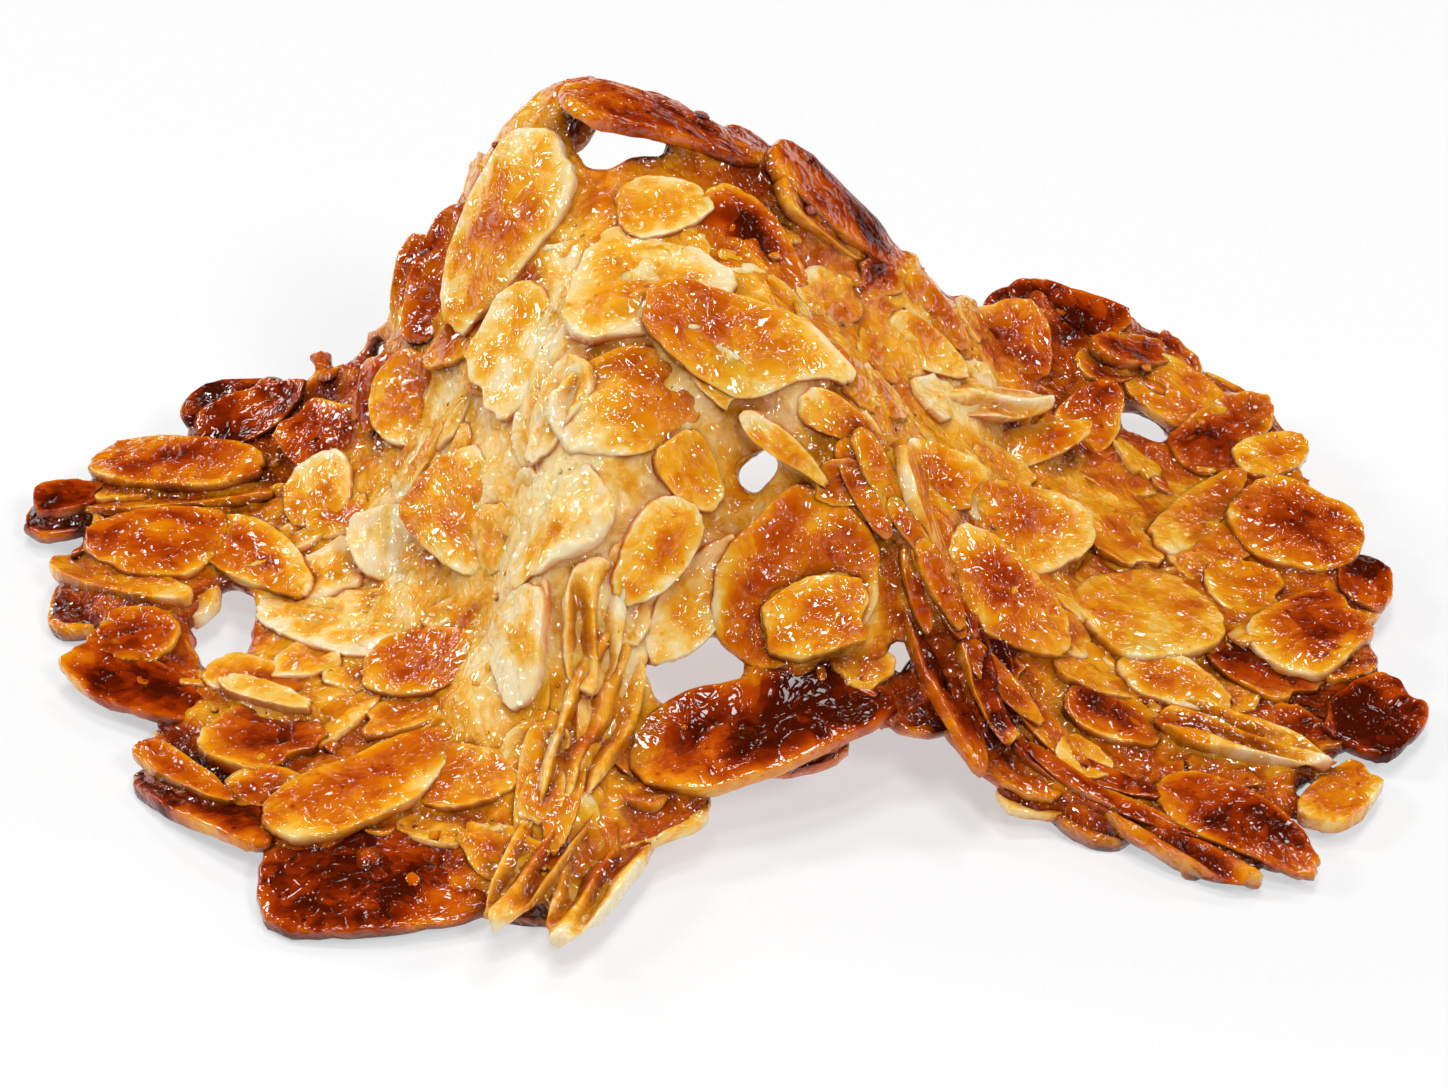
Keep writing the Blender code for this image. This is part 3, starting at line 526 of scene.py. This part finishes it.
def add_flake(mesh, name, flake, columns, rings, sunk=0.0):
    """Adds one almond flake to the mesh: a ball pressed into a slice, warped, puckered and toasted."""
    rng = random.Random(name)
    tilt = SHARD_TILT if flake.form == "shard" else FLAKE_TILT
    roll, pitch = rng.uniform(-tilt, tilt), rng.uniform(-0.4, 0.4) * tilt
    seed = Vector([rng.uniform(0, 90) for _ in range(3)])
    thickness = rng.uniform(*FLAKE_THICKNESS)
    cup, twist = rng.uniform(-0.5, 0.35), rng.uniform(-0.35, 0.35)
    scorched_end, scorched_side = rng.uniform(-0.12, 0.12), rng.uniform(-0.08, 0.08)
    scorched_end = SCORCHED_END.get(name, scorched_end)
    rough = WRINKLED_ROUGHNESS if flake.form == "wrinkled" else PLAIN_ROUGHNESS
    ragged = SHARD_RAGGEDNESS if name.startswith("shard") else 1.0
    pleats = PLEAT_HEIGHT if flake.form == "pleated" else 0.0
    slice_mesh = flake_mesh()
    toast_layer = slice_mesh.verts.layers.float["toast"]
    pucker_layer = slice_mesh.verts.layers.float["pucker"]
    puckered = 1.0
    if flake.form not in ("wrinkled", "pleated"):
        puckered = rng.uniform(0.7, 1.1) * min(1.0, 1.3 - 1.1 * flake.toast)  # the glaze is thinner on a burnt flake
    core = BROWN_CORE.get(name, rng.uniform(0.08, 0.3))
    grain_layer = slice_mesh.loops.layers.uv["grain"]
    bmesh.ops.create_uvsphere(slice_mesh, u_segments=columns, v_segments=rings, radius=1)
    grain = {}
    for point in slice_mesh.verts:
        angle = math.atan2(point.co.y, point.co.x)
        level = 2 * math.acos(max(-1, min(1, point.co.z))) / math.pi - 1
        side, share = (1 if level < 0 else -1), 1 - abs(level)
        reach, thick = edge_profile(share)
        round_trip = Vector((2.2 * math.cos(angle), 2.2 * math.sin(angle), 0)) + seed
        wobble = 1 + ragged * (0.08 * noise.noise(round_trip) + 0.045 * noise.noise(2.9 * round_trip))
        x, y = outline(flake, angle, wobble)
        x, y = reach * x, reach * y
        across, along = 2 * y / flake.wide, 2 * x / flake.long
        crease = 1 - abs(noise.noise(Vector((0.22 * x, 0.62 * y, 0)) + seed)) * 2.4
        pucker = noise.noise(Vector((0.8 * x, 1.1 * y, side)) + seed)
        z = side * 0.5 * thickness * thick * (0.86 + 0.14 * reach**2) * (1 - 0.15 * along)
        z += cup * (along**2 - 0.35) + 0.5 * cup * across**2 + twist * along * across
        z += 0.3 * noise.noise(Vector((0.16 * x, 0.16 * y, 5)) + seed)
        z += side * thick * rough * (0.7 * crease + 0.6 * pucker - 0.3)
        bent = y + 1.1 * noise.noise(Vector((0.16 * x, 0.3 * y, 2)) + seed)
        pleat = pleats * math.cos(2 * math.pi * bent / PLEAT_WIDTH)
        z += side * thick * pleat
        patch = noise.noise(Vector((0.2 * x, 0.34 * y, 9)) + seed)
        toast = flake.toast + core * (0.6 - reach**2) + 0.24 * patch
        toast += scorched_end * along + scorched_side * across
        pale_rim = (0.02 + 0.24 * flake.toast) * (0.4 if flake.form == "sliver" else 1.0)
        pale_rim *= 0.8 + 1.2 * noise.noise(0.7 * round_trip)
        toast -= pale_rim * max(0.0, min(1.0, (reach - RIM_START) / (1 - RIM_START)))
        toast -= 0.25 * pleat
        point[toast_layer] = max(0.0, min(1.0, toast))
        point[pucker_layer] = puckered
        grain[point] = (x / 100 + seed.x, y / 100 + seed.y)
        point.co = (x, y, z - sunk)
    place = flake_matrix(flake, roll, pitch)
    for point in slice_mesh.verts:
        point.co = place @ point.co
        for loop in point.link_loops:
            loop[grain_layer].uv = grain[point]
    spots = np.array([point.co for point in slice_mesh.verts])
    rises = FLAKE_SOFTNESS * bend_of_sheet(flake, spots[:, 0], spots[:, 1])
    for point, rise in zip(slice_mesh.verts, rises):
        point.co.z += rise
    add_part(mesh, slice_mesh)


def flake_mesh():
    """An empty mesh with the layers of an almond: how toasted and how puckered it is, and its grain in decimetres."""
    mesh = bmesh.new()
    mesh.verts.layers.float.new("toast")
    mesh.verts.layers.float.new("pucker")
    mesh.loops.layers.uv.new("grain")
    return mesh


def add_part(mesh, part):
    """Moves a small mesh into a large one."""
    data = bpy.data.meshes.new("part")
    part.to_mesh(data)
    part.free()
    mesh.from_mesh(data)
    bpy.data.meshes.remove(data)


def almonds(name, flakes, columns, rings, material):
    mesh = flake_mesh()
    for flake_name, flake in flakes.items():
        add_flake(mesh, flake_name, flake, columns, rings)
    return finished(name, mesh, material)


# Caramel


def caramel_sheet():
    """The bare sheet, full of gaps and lumps, as a shell with no thickness."""
    mesh = bmesh.new()
    columns, rows = round(CARAMEL_WIDE / CARAMEL_GRID), round(CARAMEL_DEEP / CARAMEL_GRID)
    bmesh.ops.create_grid(mesh, x_segments=columns, y_segments=rows, size=0.5)
    bmesh.ops.scale(mesh, verts=mesh.verts, vec=(CARAMEL_WIDE, CARAMEL_DEEP, 1))
    bmesh.ops.translate(mesh, verts=mesh.verts, vec=CARAMEL_MIDDLE)
    missing = []
    for point in mesh.verts:
        x, y, _ = point.co
        share = RIM_DRAWN_IN + RIM_RAGGEDNESS * noise.noise((0.22 * x, 0.22 * y, 7))
        if not inside_rim(x, y, share) or in_hole(x, y):
            missing.append(point)
    bmesh.ops.delete(mesh, geom=missing, context="VERTS")
    levels = height([point.co.x for point in mesh.verts], [point.co.y for point in mesh.verts])
    for point, level in zip(mesh.verts, levels):
        x, y, _ = point.co
        swell = 1 + max(0.0, 1 - math.hypot(x + 12, y + 8) / 24)
        lump = swell * noise.noise((x / 5, y / 5, 0)) + 0.5 * noise.noise((x / 2, y / 2, 4))
        run = (0.5 - abs(noise.noise((x / 1.8, y / 8, 8)))) * max(0.0, 1 - abs(x + 13) / 12)
        point.co.z = level + CARAMEL_LUMP * (lump + run)
    return mesh


def applied(shape, *modifiers):
    """A mesh put through modifiers, each a type and its settings."""
    data = bpy.data.meshes.new("work")
    shape.to_mesh(data)
    shape.free()
    work = bpy.data.objects.new("work", data)
    bpy.context.scene.collection.objects.link(work)
    for kind, settings in modifiers:
        modifier = work.modifiers.new(kind, kind)
        for setting, value in settings.items():
            setattr(modifier, setting, value)
    seen = work.evaluated_get(bpy.context.evaluated_depsgraph_get())
    result = bmesh.new()
    result.from_mesh(seen.to_mesh())
    seen.to_mesh_clear()
    bpy.data.objects.remove(work)
    bpy.data.meshes.remove(data)
    return result


def without_scraps(mesh):
    """The mesh's largest connected piece alone."""
    left, largest = set(mesh.verts), set()
    while left:
        piece, front = set(), {next(iter(left))}
        while front:
            piece |= front
            front = {edge.other_vert(point) for point in front for edge in point.link_edges} - piece
        left -= piece
        largest = max(largest, piece, key=len)
    bmesh.ops.delete(mesh, geom=[point for point in mesh.verts if point not in largest], context="VERTS")
    return mesh


def caramel_solid(flakes, bits):
    """The sheet with thickness, flowed together with a sunken copy of every almond and with drips on its rim."""
    mesh = applied(caramel_sheet(), ("SOLIDIFY", {"thickness": CARAMEL_THICKNESS, "offset": 0.0}))
    for name, flake in flakes.items():
        toward = SUNK_PLEATS if flake.form == "pleated" else SUNK if flake.lift > 0 else -SUNK
        add_flake(mesh, name, flake, *SUNK_GRID, sunk=toward)
    for name, bit in bits.items():
        add_flake(mesh, name, bit, *SUNK_BIT_GRID, sunk=SUNK_BITS)
    rng = random.Random("drips")
    for _ in range(DRIP_COUNT):
        place = rng.choice(RIM_CURVE) * rng.uniform(0.9, 0.985)
        x, y = place.x + rng.uniform(-2, 2), place.y + rng.uniform(-2, 2)
        size = rng.uniform(0.7, 1.5)
        drip = Matrix.Translation((x, y, height(x, y) + rng.uniform(-0.7, 1.3)))
        stretch = Matrix.Diagonal((rng.uniform(0.8, 1.7), rng.uniform(0.8, 1.7), 1, 1))
        if height(x, y) > SHARD_TOP:
            continue
        blob = bmesh.new()
        bmesh.ops.create_icosphere(blob, subdivisions=2, radius=size, matrix=drip @ stretch)
        add_part(mesh, blob)
    flowed = applied(
        mesh,
        ("REMESH", {"mode": "VOXEL", "voxel_size": CARAMEL_VOXEL}),
        ("SMOOTH", {"factor": 0.6, "iterations": 8}),
    )
    return without_scraps(flowed)


def caramel(flakes, bits, material):
    """The caramel sheet, toasted like the almonds near it, and darker where it lies low between them: partly caramel
    that has run deep, partly painted shade.
    """
    mesh = caramel_solid(flakes, bits)
    toast_layer = mesh.verts.layers.float.new("toast")
    pucker_layer = mesh.verts.layers.float.new("pucker")
    spots = np.array([point.co for point in mesh.verts])
    toasts = toast_near(spots[:, 0], spots[:, 1])
    lifts = spots[:, 2] - height(spots[:, 0], spots[:, 1])
    for point, toast, lift in zip(mesh.verts, toasts, lifts):
        ripple = noise.noise(point.co / 1.7)
        crease = 0.4 - abs(noise.noise(point.co / 3.4))
        patch = noise.noise(point.co / 6)
        point.co += point.normal * (CARAMEL_RIPPLE * ripple + CARAMEL_CREASE * crease - CARAMEL_SHRUNK)
        # Painted shade, partly deeper caramel: the lower the caramel lies below the middle of the sheet, the darker it
        # is coloured.
        pool_depth_and_painted_shade = max(-0.4, min(1.0, (1.7 - lift) / 1.3))
        point[toast_layer] = max(0.0, min(1.0, toast - 0.07 + 0.26 * pool_depth_and_painted_shade + 0.16 * patch))
        point[pucker_layer] = 1.3 + 0.7 * noise.noise(point.co / 9)
    return finished("caramel", mesh, material)


def stuck_on(surface, count, seed, share=0.97):
    """Random places on top of the wafer, with the way out of its surface there."""
    rng = random.Random(seed)
    places = []
    while len(places) < count:
        x, y = rng.uniform(-64, 64), rng.uniform(-46, 42)
        if not inside_rim(x, y, share):
            continue
        hit, out, _, _ = surface.ray_cast(Vector((x, y, ABOVE_ALL)), Vector((0, 0, -1)))
        if hit:
            places.append((hit, out, rng))
    return places


def crumbs(surface, material):
    """Chips and slivers of broken almond."""
    mesh = flake_mesh()
    for hit, out, rng in stuck_on(surface, CRUMB_COUNT, "crumbs"):
        chip = flake_mesh()
        toast_layer = chip.verts.layers.float["toast"]
        pucker_layer = chip.verts.layers.float["pucker"]
        long, wide, thick = rng.uniform(1.2, 3.4), rng.uniform(0.8, 1.7), rng.uniform(0.6, 1.1)
        if toast_near(hit.x, hit.y) < CRUMB_TOAST or out.z < CRUMB_STEEPEST:
            continue
        axes = out.to_track_quat("Z", "X").to_matrix().to_4x4() @ Matrix.Rotation(rng.uniform(0, 2 * math.pi), 4, "Z")
        axes = axes @ Matrix.Rotation(rng.uniform(-0.5, 0.5), 4, "Y")
        size = Matrix.Diagonal((0.5 * long, 0.5 * wide, 0.5 * thick, 1))
        place = Matrix.Translation(hit + out * 0.05 * thick) @ axes @ size
        toast = max(0.05, min(0.95, float(toast_near(hit.x, hit.y)) + rng.uniform(-0.25, 0.2)))
        seed = Vector([rng.uniform(0, 90) for _ in range(3)])
        bmesh.ops.create_icosphere(chip, subdivisions=2, radius=1)
        for point in chip.verts:
            square = Vector([math.copysign(abs(c) ** 0.6, c) for c in point.co])
            point.co = place @ (square * (1 + 0.35 * noise.noise(point.co * 1.3 + seed)))
            point[toast_layer] = toast
            point[pucker_layer] = 0.3
        add_part(mesh, chip)
    return finished("almond_crumbs", mesh, material)


def beads(surface, material):
    """Small beads and burst bubbles of set caramel."""
    mesh = flake_mesh()
    for hit, _, rng in stuck_on(surface, BEAD_COUNT, "beads", 0.99):
        bead = flake_mesh()
        toast_layer = bead.verts.layers.float["toast"]
        size = 0.16 + 0.34 * rng.random() ** 3
        place = Matrix.Translation(hit) @ Matrix.Diagonal((size, size * rng.uniform(0.8, 1.3), 0.8 * size, 1))
        bmesh.ops.create_icosphere(bead, subdivisions=2, radius=1, matrix=place)
        toast = float(toast_near(hit.x, hit.y))
        for point in bead.verts:
            point[toast_layer] = toast
        add_part(mesh, bead)
    return finished("caramel_beads", mesh, material)


def finished(name, mesh, material):
    """Moves a mesh from the drape to the part's frame and makes it a piece of the wafer."""
    mesh.transform(Matrix.Scale(MM, 4) @ Matrix.Translation(DRAPE_TO_PART))
    for face in mesh.faces:
        face.smooth = True
    data = bpy.data.meshes.new(name)
    mesh.to_mesh(data)
    mesh.free()
    data.materials.append(material)
    piece = bpy.data.objects.new(name, data)
    bpy.context.scene.collection.objects.link(piece)
    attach(piece, "root")
    return piece


# Materials


def colour(code):
    """A linear colour from an sRGB hex code."""
    parts = [int(code[k:k + 2], 16) / 255 for k in (1, 3, 5)]
    return (*(p / 12.92 if p <= 0.04045 else ((p + 0.055) / 1.055) ** 2.4 for p in parts), 1)


def add_node(tree, kind, links=None, **settings):
    """Adds a node with its settings, and its inputs as values or as links from other nodes' outputs."""
    node = tree.nodes.new("ShaderNode" + kind)
    for name, value in settings.items():
        setattr(node, name, value)
    for name, value in (links or {}).items():
        if isinstance(value, bpy.types.NodeSocket):
            tree.links.new(value, node.inputs[name])
        else:
            node.inputs[name].default_value = value
    return node


def per_mm(size):
    """A pattern's scale on Object coordinates for features of that size in millimetres."""
    return 1 / (size * MM)


REFLECTANCE = 0.88  # how much of its colour the food sends back; the lights are as much brighter

# Colours from cream to burnt
ALMOND_COLOURS = [
    (0.00, "#FFEBBC"), (0.12, "#FFD77C"), (0.26, "#FCB528"), (0.40, "#F0920A"), (0.55, "#DA6A05"),
    (0.70, "#B94503"), (0.82, "#902902"), (0.92, "#611701"), (1.00, "#320A01"),
]
CARAMEL_COLOURS = [
    (0.00, "#FFE4A2"), (0.12, "#FFCC66"), (0.26, "#FBAF20"), (0.40, "#EC8A06"), (0.52, "#D56504"),
    (0.64, "#B94602"), (0.77, "#8E2A02"), (0.90, "#5F1701"), (1.00, "#300A01"),
]


def toast_colours(tree, toast, stops):
    """Colours along the way from cream to burnt."""
    ramp = add_node(tree, "ValToRGB", {"Fac": toast})
    elements = ramp.color_ramp.elements
    while len(elements) < len(stops):
        elements.new(0.5)
    for element, (place, code) in zip(elements, stops):
        element.position = place
        element.color = (*(REFLECTANCE * part for part in colour(code)[:3]), 1)
    return ramp.outputs["Color"]


def pooled_caramel_and_painted_shade(tree, shade, reach, pool_depth_and_painted_shade):
    """Adds to a shade in the corners and gaps within reach of other surfaces, and under almonds that overhang: partly
    caramel that pools there, partly painted shade from an ambient occlusion lookup.
    """
    open_air = add_node(tree, "AmbientOcclusion", {"Distance": reach}, samples=2).outputs["AO"]
    # Painted shade: the less open air around a point, the darker its colour.
    pool_and_painted_shade = add_node(tree, "MapRange", {"Value": open_air, "From Min": 0.35, "From Max": 0.95, "To Min": pool_depth_and_painted_shade,
                                       "To Max": -0.03})
    return add_node(tree, "Math", {0: shade, 1: pool_and_painted_shade.outputs["Result"]}, operation="ADD", use_clamp=True).outputs[0]


def glaze_films(tree, place):
    """Where set glaze lies thick, from 0 to 1: in flat films with rounded edges."""
    films = add_node(tree, "TexNoise", {"Vector": place, "Scale": per_mm(3.4), "Detail": 1.0, "Roughness": 0.5,
                                        "Distortion": 1.1})
    film = add_node(tree, "MapRange", {"Value": films.outputs["Fac"], "From Min": 0.44, "From Max": 0.54,
                                       "To Min": 0.0, "To Max": 1.0}, interpolation_type="SMOOTHSTEP")
    ripples = add_node(tree, "TexNoise", {"Vector": place, "Scale": per_mm(1.7), "Detail": 0.5, "Roughness": 0.5,
                                          "Distortion": 1.4})
    ripple = add_node(tree, "MapRange", {"Value": ripples.outputs["Fac"], "From Min": 0.48, "From Max": 0.62,
                                         "To Min": 0.0, "To Max": 0.55}, interpolation_type="SMOOTHSTEP")
    return add_node(tree, "Math", {0: film.outputs["Result"], 1: ripple.outputs["Result"]}, operation="ADD").outputs[0]


def glaze_relief(tree, place, films, below):
    """The face of set glaze over a surface below: its films, a wavy skin on them and patches of tiny bubbles."""
    skin = add_node(tree, "TexNoise", {"Vector": place, "Scale": per_mm(2.4), "Detail": 1.2, "Roughness": 0.5,
                                       "Distortion": 0.6})
    waves = add_node(tree, "Math", {0: skin.outputs["Fac"], 1: 2.6, 2: films}, operation="MULTIPLY_ADD").outputs[0]
    pucker = add_node(tree, "Attribute", attribute_name="pucker").outputs["Fac"]
    cells = add_node(tree, "TexVoronoi", {"Vector": place, "Scale": per_mm(0.9), "Randomness": 1.0})
    bubble = add_node(tree, "MapRange", {"Value": cells.outputs["Distance"], "From Min": 0.0, "From Max": 0.32,
                                         "To Min": 1.0, "To Max": 0.0}, interpolation_type="SMOOTHSTEP")
    froth = add_node(tree, "TexNoise", {"Vector": place, "Scale": per_mm(7.0), "Detail": 2.0})
    frothy = add_node(tree, "MapRange", {"Value": froth.outputs["Fac"], "From Min": 0.5, "From Max": 0.64,
                                         "To Min": 0.0, "To Max": 1.0})
    bubbles = add_node(tree, "Math", {0: bubble.outputs["Result"], 1: frothy.outputs["Result"]}, operation="MULTIPLY")
    first = add_node(tree, "Bump", {"Height": waves, "Strength": pucker, "Distance": 0.5 * MM, "Normal": below})
    second = add_node(tree, "Bump", {"Height": bubbles.outputs[0], "Strength": 1.0, "Distance": 0.11 * MM,
                                     "Normal": first.outputs["Normal"]})
    return second.outputs["Normal"]


def thicker_darker(tree, shade, films, most):
    """Adds to a shade where the glaze on it is thick."""
    film = add_node(tree, "MapRange", {"Value": films, "From Min": 0.0, "From Max": 1.4, "To Min": -0.5 * most,
                                       "To Max": most})
    return add_node(tree, "Math", {0: shade, 1: film.outputs["Result"]}, operation="ADD", use_clamp=True).outputs[0]


def empty_material(name):
    """A material with no nodes yet, and its tree."""
    material = bpy.data.materials.new(name)
    material.use_nodes = True
    material.node_tree.nodes.clear()
    return material, material.node_tree


def toasted_almond():
    """Blanched almond, sliced, baked in caramel and glazed with it.

    The nut is matt and takes light in below its surface. The glaze on it is a thin, wet-looking, puckered film,
    which breaks every highlight into short bright squiggles.
    """
    material, tree = empty_material("toasted_almond")
    place = add_node(tree, "TexCoord").outputs["Object"]
    grain = add_node(tree, "UVMap", uv_map="grain").outputs["UV"]
    toast = add_node(tree, "Attribute", attribute_name="toast").outputs["Fac"]
    long_grain = add_node(tree, "Mapping", {"Vector": grain, "Scale": (100 / 5.0, 100 / 0.9, 1)}).outputs["Vector"]
    streaks = add_node(tree, "TexNoise", {"Vector": long_grain, "Scale": 1.0, "Detail": 4.0, "Roughness": 0.6,
                                          "Distortion": 0.6})
    blotches = add_node(tree, "TexNoise", {"Vector": place, "Scale": per_mm(3.6), "Detail": 3.0, "Roughness": 0.5})
    streaked = add_node(tree, "MapRange", {"Value": streaks.outputs["Fac"], "From Min": 0.3, "From Max": 0.7,
                                           "To Min": -0.03, "To Max": 0.03})
    blotched = add_node(tree, "MapRange", {"Value": blotches.outputs["Fac"], "From Min": 0.3, "From Max": 0.7,
                                           "To Min": -0.11, "To Max": 0.11})
    pits = add_node(tree, "TexVoronoi", {"Vector": place, "Scale": per_mm(1.9), "Randomness": 1.0})
    pitted = add_node(tree, "MapRange", {"Value": pits.outputs["Distance"], "From Min": 0.06, "From Max": 0.16,
                                         "To Min": 0.16, "To Max": 0.0})
    streaky = add_node(tree, "Math", {0: toast, 1: streaked.outputs["Result"]}, operation="ADD").outputs[0]
    blotchy = add_node(tree, "Math", {0: streaky, 1: blotched.outputs["Result"]}, operation="ADD").outputs[0]
    shade = add_node(tree, "Math", {0: blotchy, 1: pitted.outputs["Result"]}, operation="ADD",
                     use_clamp=True).outputs[0]
    films = glaze_films(tree, place)
    # Painted shade: the almond is darker in the corners and gaps next to other surfaces, partly as glaze pooled there.
    shade = pooled_caramel_and_painted_shade(tree, thicker_darker(tree, shade, films, 0.09), 3.0 * MM, 0.6)
    colours = toast_colours(tree, shade, ALMOND_COLOURS)
    nut_bump = add_node(tree, "Bump", {"Height": streaks.outputs["Fac"], "Strength": 0.45, "Distance": 0.35 * MM})
    glaze = add_node(tree, "MapRange", {"Value": toast, "From Min": 0.6, "From Max": 0.95, "To Min": 1.0,
                                        "To Max": 0.3})
    glaze_bump = glaze_relief(tree, place, films, add_node(tree, "NewGeometry").outputs["Normal"])
    shader = add_node(tree, "BsdfPrincipled", {
        "Base Color": colours, "Roughness": 0.5, "Specular IOR Level": 0.0, "Normal": nut_bump.outputs["Normal"],
        "Subsurface Weight": 0.28, "Subsurface Radius": (1.0, 0.55, 0.22), "Subsurface Scale": 1.0 * MM,
        "Coat Weight": glaze.outputs["Result"], "Coat Roughness": 0.05, "Coat IOR": 1.6, "Coat Normal": glaze_bump,
    })
    add_node(tree, "OutputMaterial", {"Surface": shader.outputs["BSDF"]})
    return material


def set_caramel():
    """Sugar caramel with butter, set hard: amber, cloudy enough to glow, and as glossy as glass."""
    material, tree = empty_material("set_caramel")
    place = add_node(tree, "TexCoord").outputs["Object"]
    toast = add_node(tree, "Attribute", attribute_name="toast").outputs["Fac"]
    clouds = add_node(tree, "TexNoise", {"Vector": place, "Scale": per_mm(2.6), "Detail": 3.0, "Roughness": 0.5})
    clouded = add_node(tree, "MapRange", {"Value": clouds.outputs["Fac"], "From Min": 0.3, "From Max": 0.7,
                                          "To Min": -0.13, "To Max": 0.11})
    shade = add_node(tree, "Math", {0: toast, 1: clouded.outputs["Result"]}, operation="ADD", use_clamp=True).outputs[0]
    films = glaze_films(tree, place)
    # Painted shade: the caramel is darker in its corners and gaps, partly as caramel that pools there.
    shade = pooled_caramel_and_painted_shade(tree, thicker_darker(tree, shade, films, 0.1), 4.0 * MM, 0.74)
    colours = toast_colours(tree, shade, CARAMEL_COLOURS)
    film_bump = add_node(tree, "Bump", {"Height": films, "Strength": 0.3, "Distance": 0.5 * MM})
    flow_bump = glaze_relief(tree, place, films, add_node(tree, "NewGeometry").outputs["Normal"])
    shader = add_node(tree, "BsdfPrincipled", {
        "Base Color": colours, "Roughness": 0.4, "Specular IOR Level": 0.0, "Normal": film_bump.outputs["Normal"],
        "Subsurface Weight": 0.5, "Subsurface Radius": (1.0, 0.5, 0.18), "Subsurface Scale": 1.6 * MM,
        "Coat Weight": 1.0, "Coat Roughness": 0.05, "Coat IOR": 1.6, "Coat Normal": flow_bump,
    })
    add_node(tree, "OutputMaterial", {"Surface": shader.outputs["BSDF"]})
    return material


def white_card():
    """White backdrop card lit from below as well, so that shadows on it stay pale."""
    material = bpy.data.materials.new("white_card")
    material.use_nodes = True
    shader = material.node_tree.nodes["Principled BSDF"]
    shader.inputs["Base Color"].default_value = (CARD_WHITENESS, CARD_WHITENESS, CARD_WHITENESS, 1)
    shader.inputs["Roughness"].default_value = 0.9
    shader.inputs["Specular IOR Level"].default_value = 0.1
    shader.inputs["Emission Color"].default_value = (1, 1, 1, 1)
    shader.inputs["Emission Strength"].default_value = CARD_GLOW
    return material


# The studio


def studio_floor():
    mesh = bmesh.new()
    bmesh.ops.create_grid(mesh, x_segments=1, y_segments=1, size=CARD_SIDE / 2)
    data = bpy.data.meshes.new("studio_floor")
    mesh.to_mesh(data)
    mesh.free()
    data.materials.append(white_card())
    floor = bpy.data.objects.new("studio_floor", data)
    bpy.context.scene.collection.objects.link(floor)


def soft_box(name, box):
    """A square light that faces the middle of the wafer."""
    lamp = bpy.data.lights.new(name, "AREA")
    lamp.size = box.size
    lamp.energy = box.power
    light = bpy.data.objects.new(name, lamp)
    light.location = box.place
    light.rotation_euler = (LIT_POINT - light.location).to_track_quat("-Z", "Y").to_euler()
    bpy.context.scene.collection.objects.link(light)


def studio_light():
    scene = bpy.context.scene
    scene.view_settings.view_transform = "Standard"
    scene.view_settings.look = "None"
    world = bpy.data.worlds.new("studio_air")
    world.use_nodes = True
    world.node_tree.nodes["Background"].inputs["Color"].default_value = (1, 1, 1, 1)
    world.node_tree.nodes["Background"].inputs["Strength"].default_value = STUDIO_AIR
    scene.world = world
    for name, box in SOFT_BOXES.items():
        soft_box(name, box)


def camera():
    lens = bpy.data.cameras.new("camera")
    lens.lens = CAMERA_LENS
    lens.sensor_width = 36
    lens.clip_start = 0.01
    viewer = bpy.data.objects.new("camera", lens)
    tip = math.radians(CAMERA_ELEVATION)
    target = (CAMERA_TARGET + DRAPE_TO_PART) * MM
    viewer.location = target + Vector((0, -math.cos(tip), math.sin(tip))) * CAMERA_DISTANCE * MM
    viewer.rotation_euler = (0.5 * math.pi - tip, 0, 0)
    bpy.context.scene.collection.objects.link(viewer)
    bpy.context.scene.camera = viewer


def main():
    almond, sugar = toasted_almond(), set_caramel()
    small = {**smaller_flakes(), **fold_slivers()}
    bits = shards()
    base = caramel({**FLAKES, **small}, bits, sugar)
    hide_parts("tuile")
    back = Matrix.Translation(-DRAPE_TO_PART) @ Matrix.Scale(1 / MM, 4)
    surface = bmesh.new()
    surface.from_mesh(base.data)
    surface.transform(back)
    thirds = {"almonds_left": (-99, -22), "almonds_middle": (-22, 15), "almonds_right": (15, 99)}
    for name, (low, high) in thirds.items():
        almonds(name, {key: flake for key, flake in FLAKES.items() if low <= flake.x < high}, *PLACED_GRID, almond)
    almonds("almonds_small", small, *SMALL_GRID, almond)
    almonds("almond_bits", bits, *BIT_GRID, almond)
    top = BVHTree.FromBMesh(surface)
    surface.free()
    crumbs(top, almond)
    beads(top, sugar)
    studio_floor()
    studio_light()
    camera()


main()
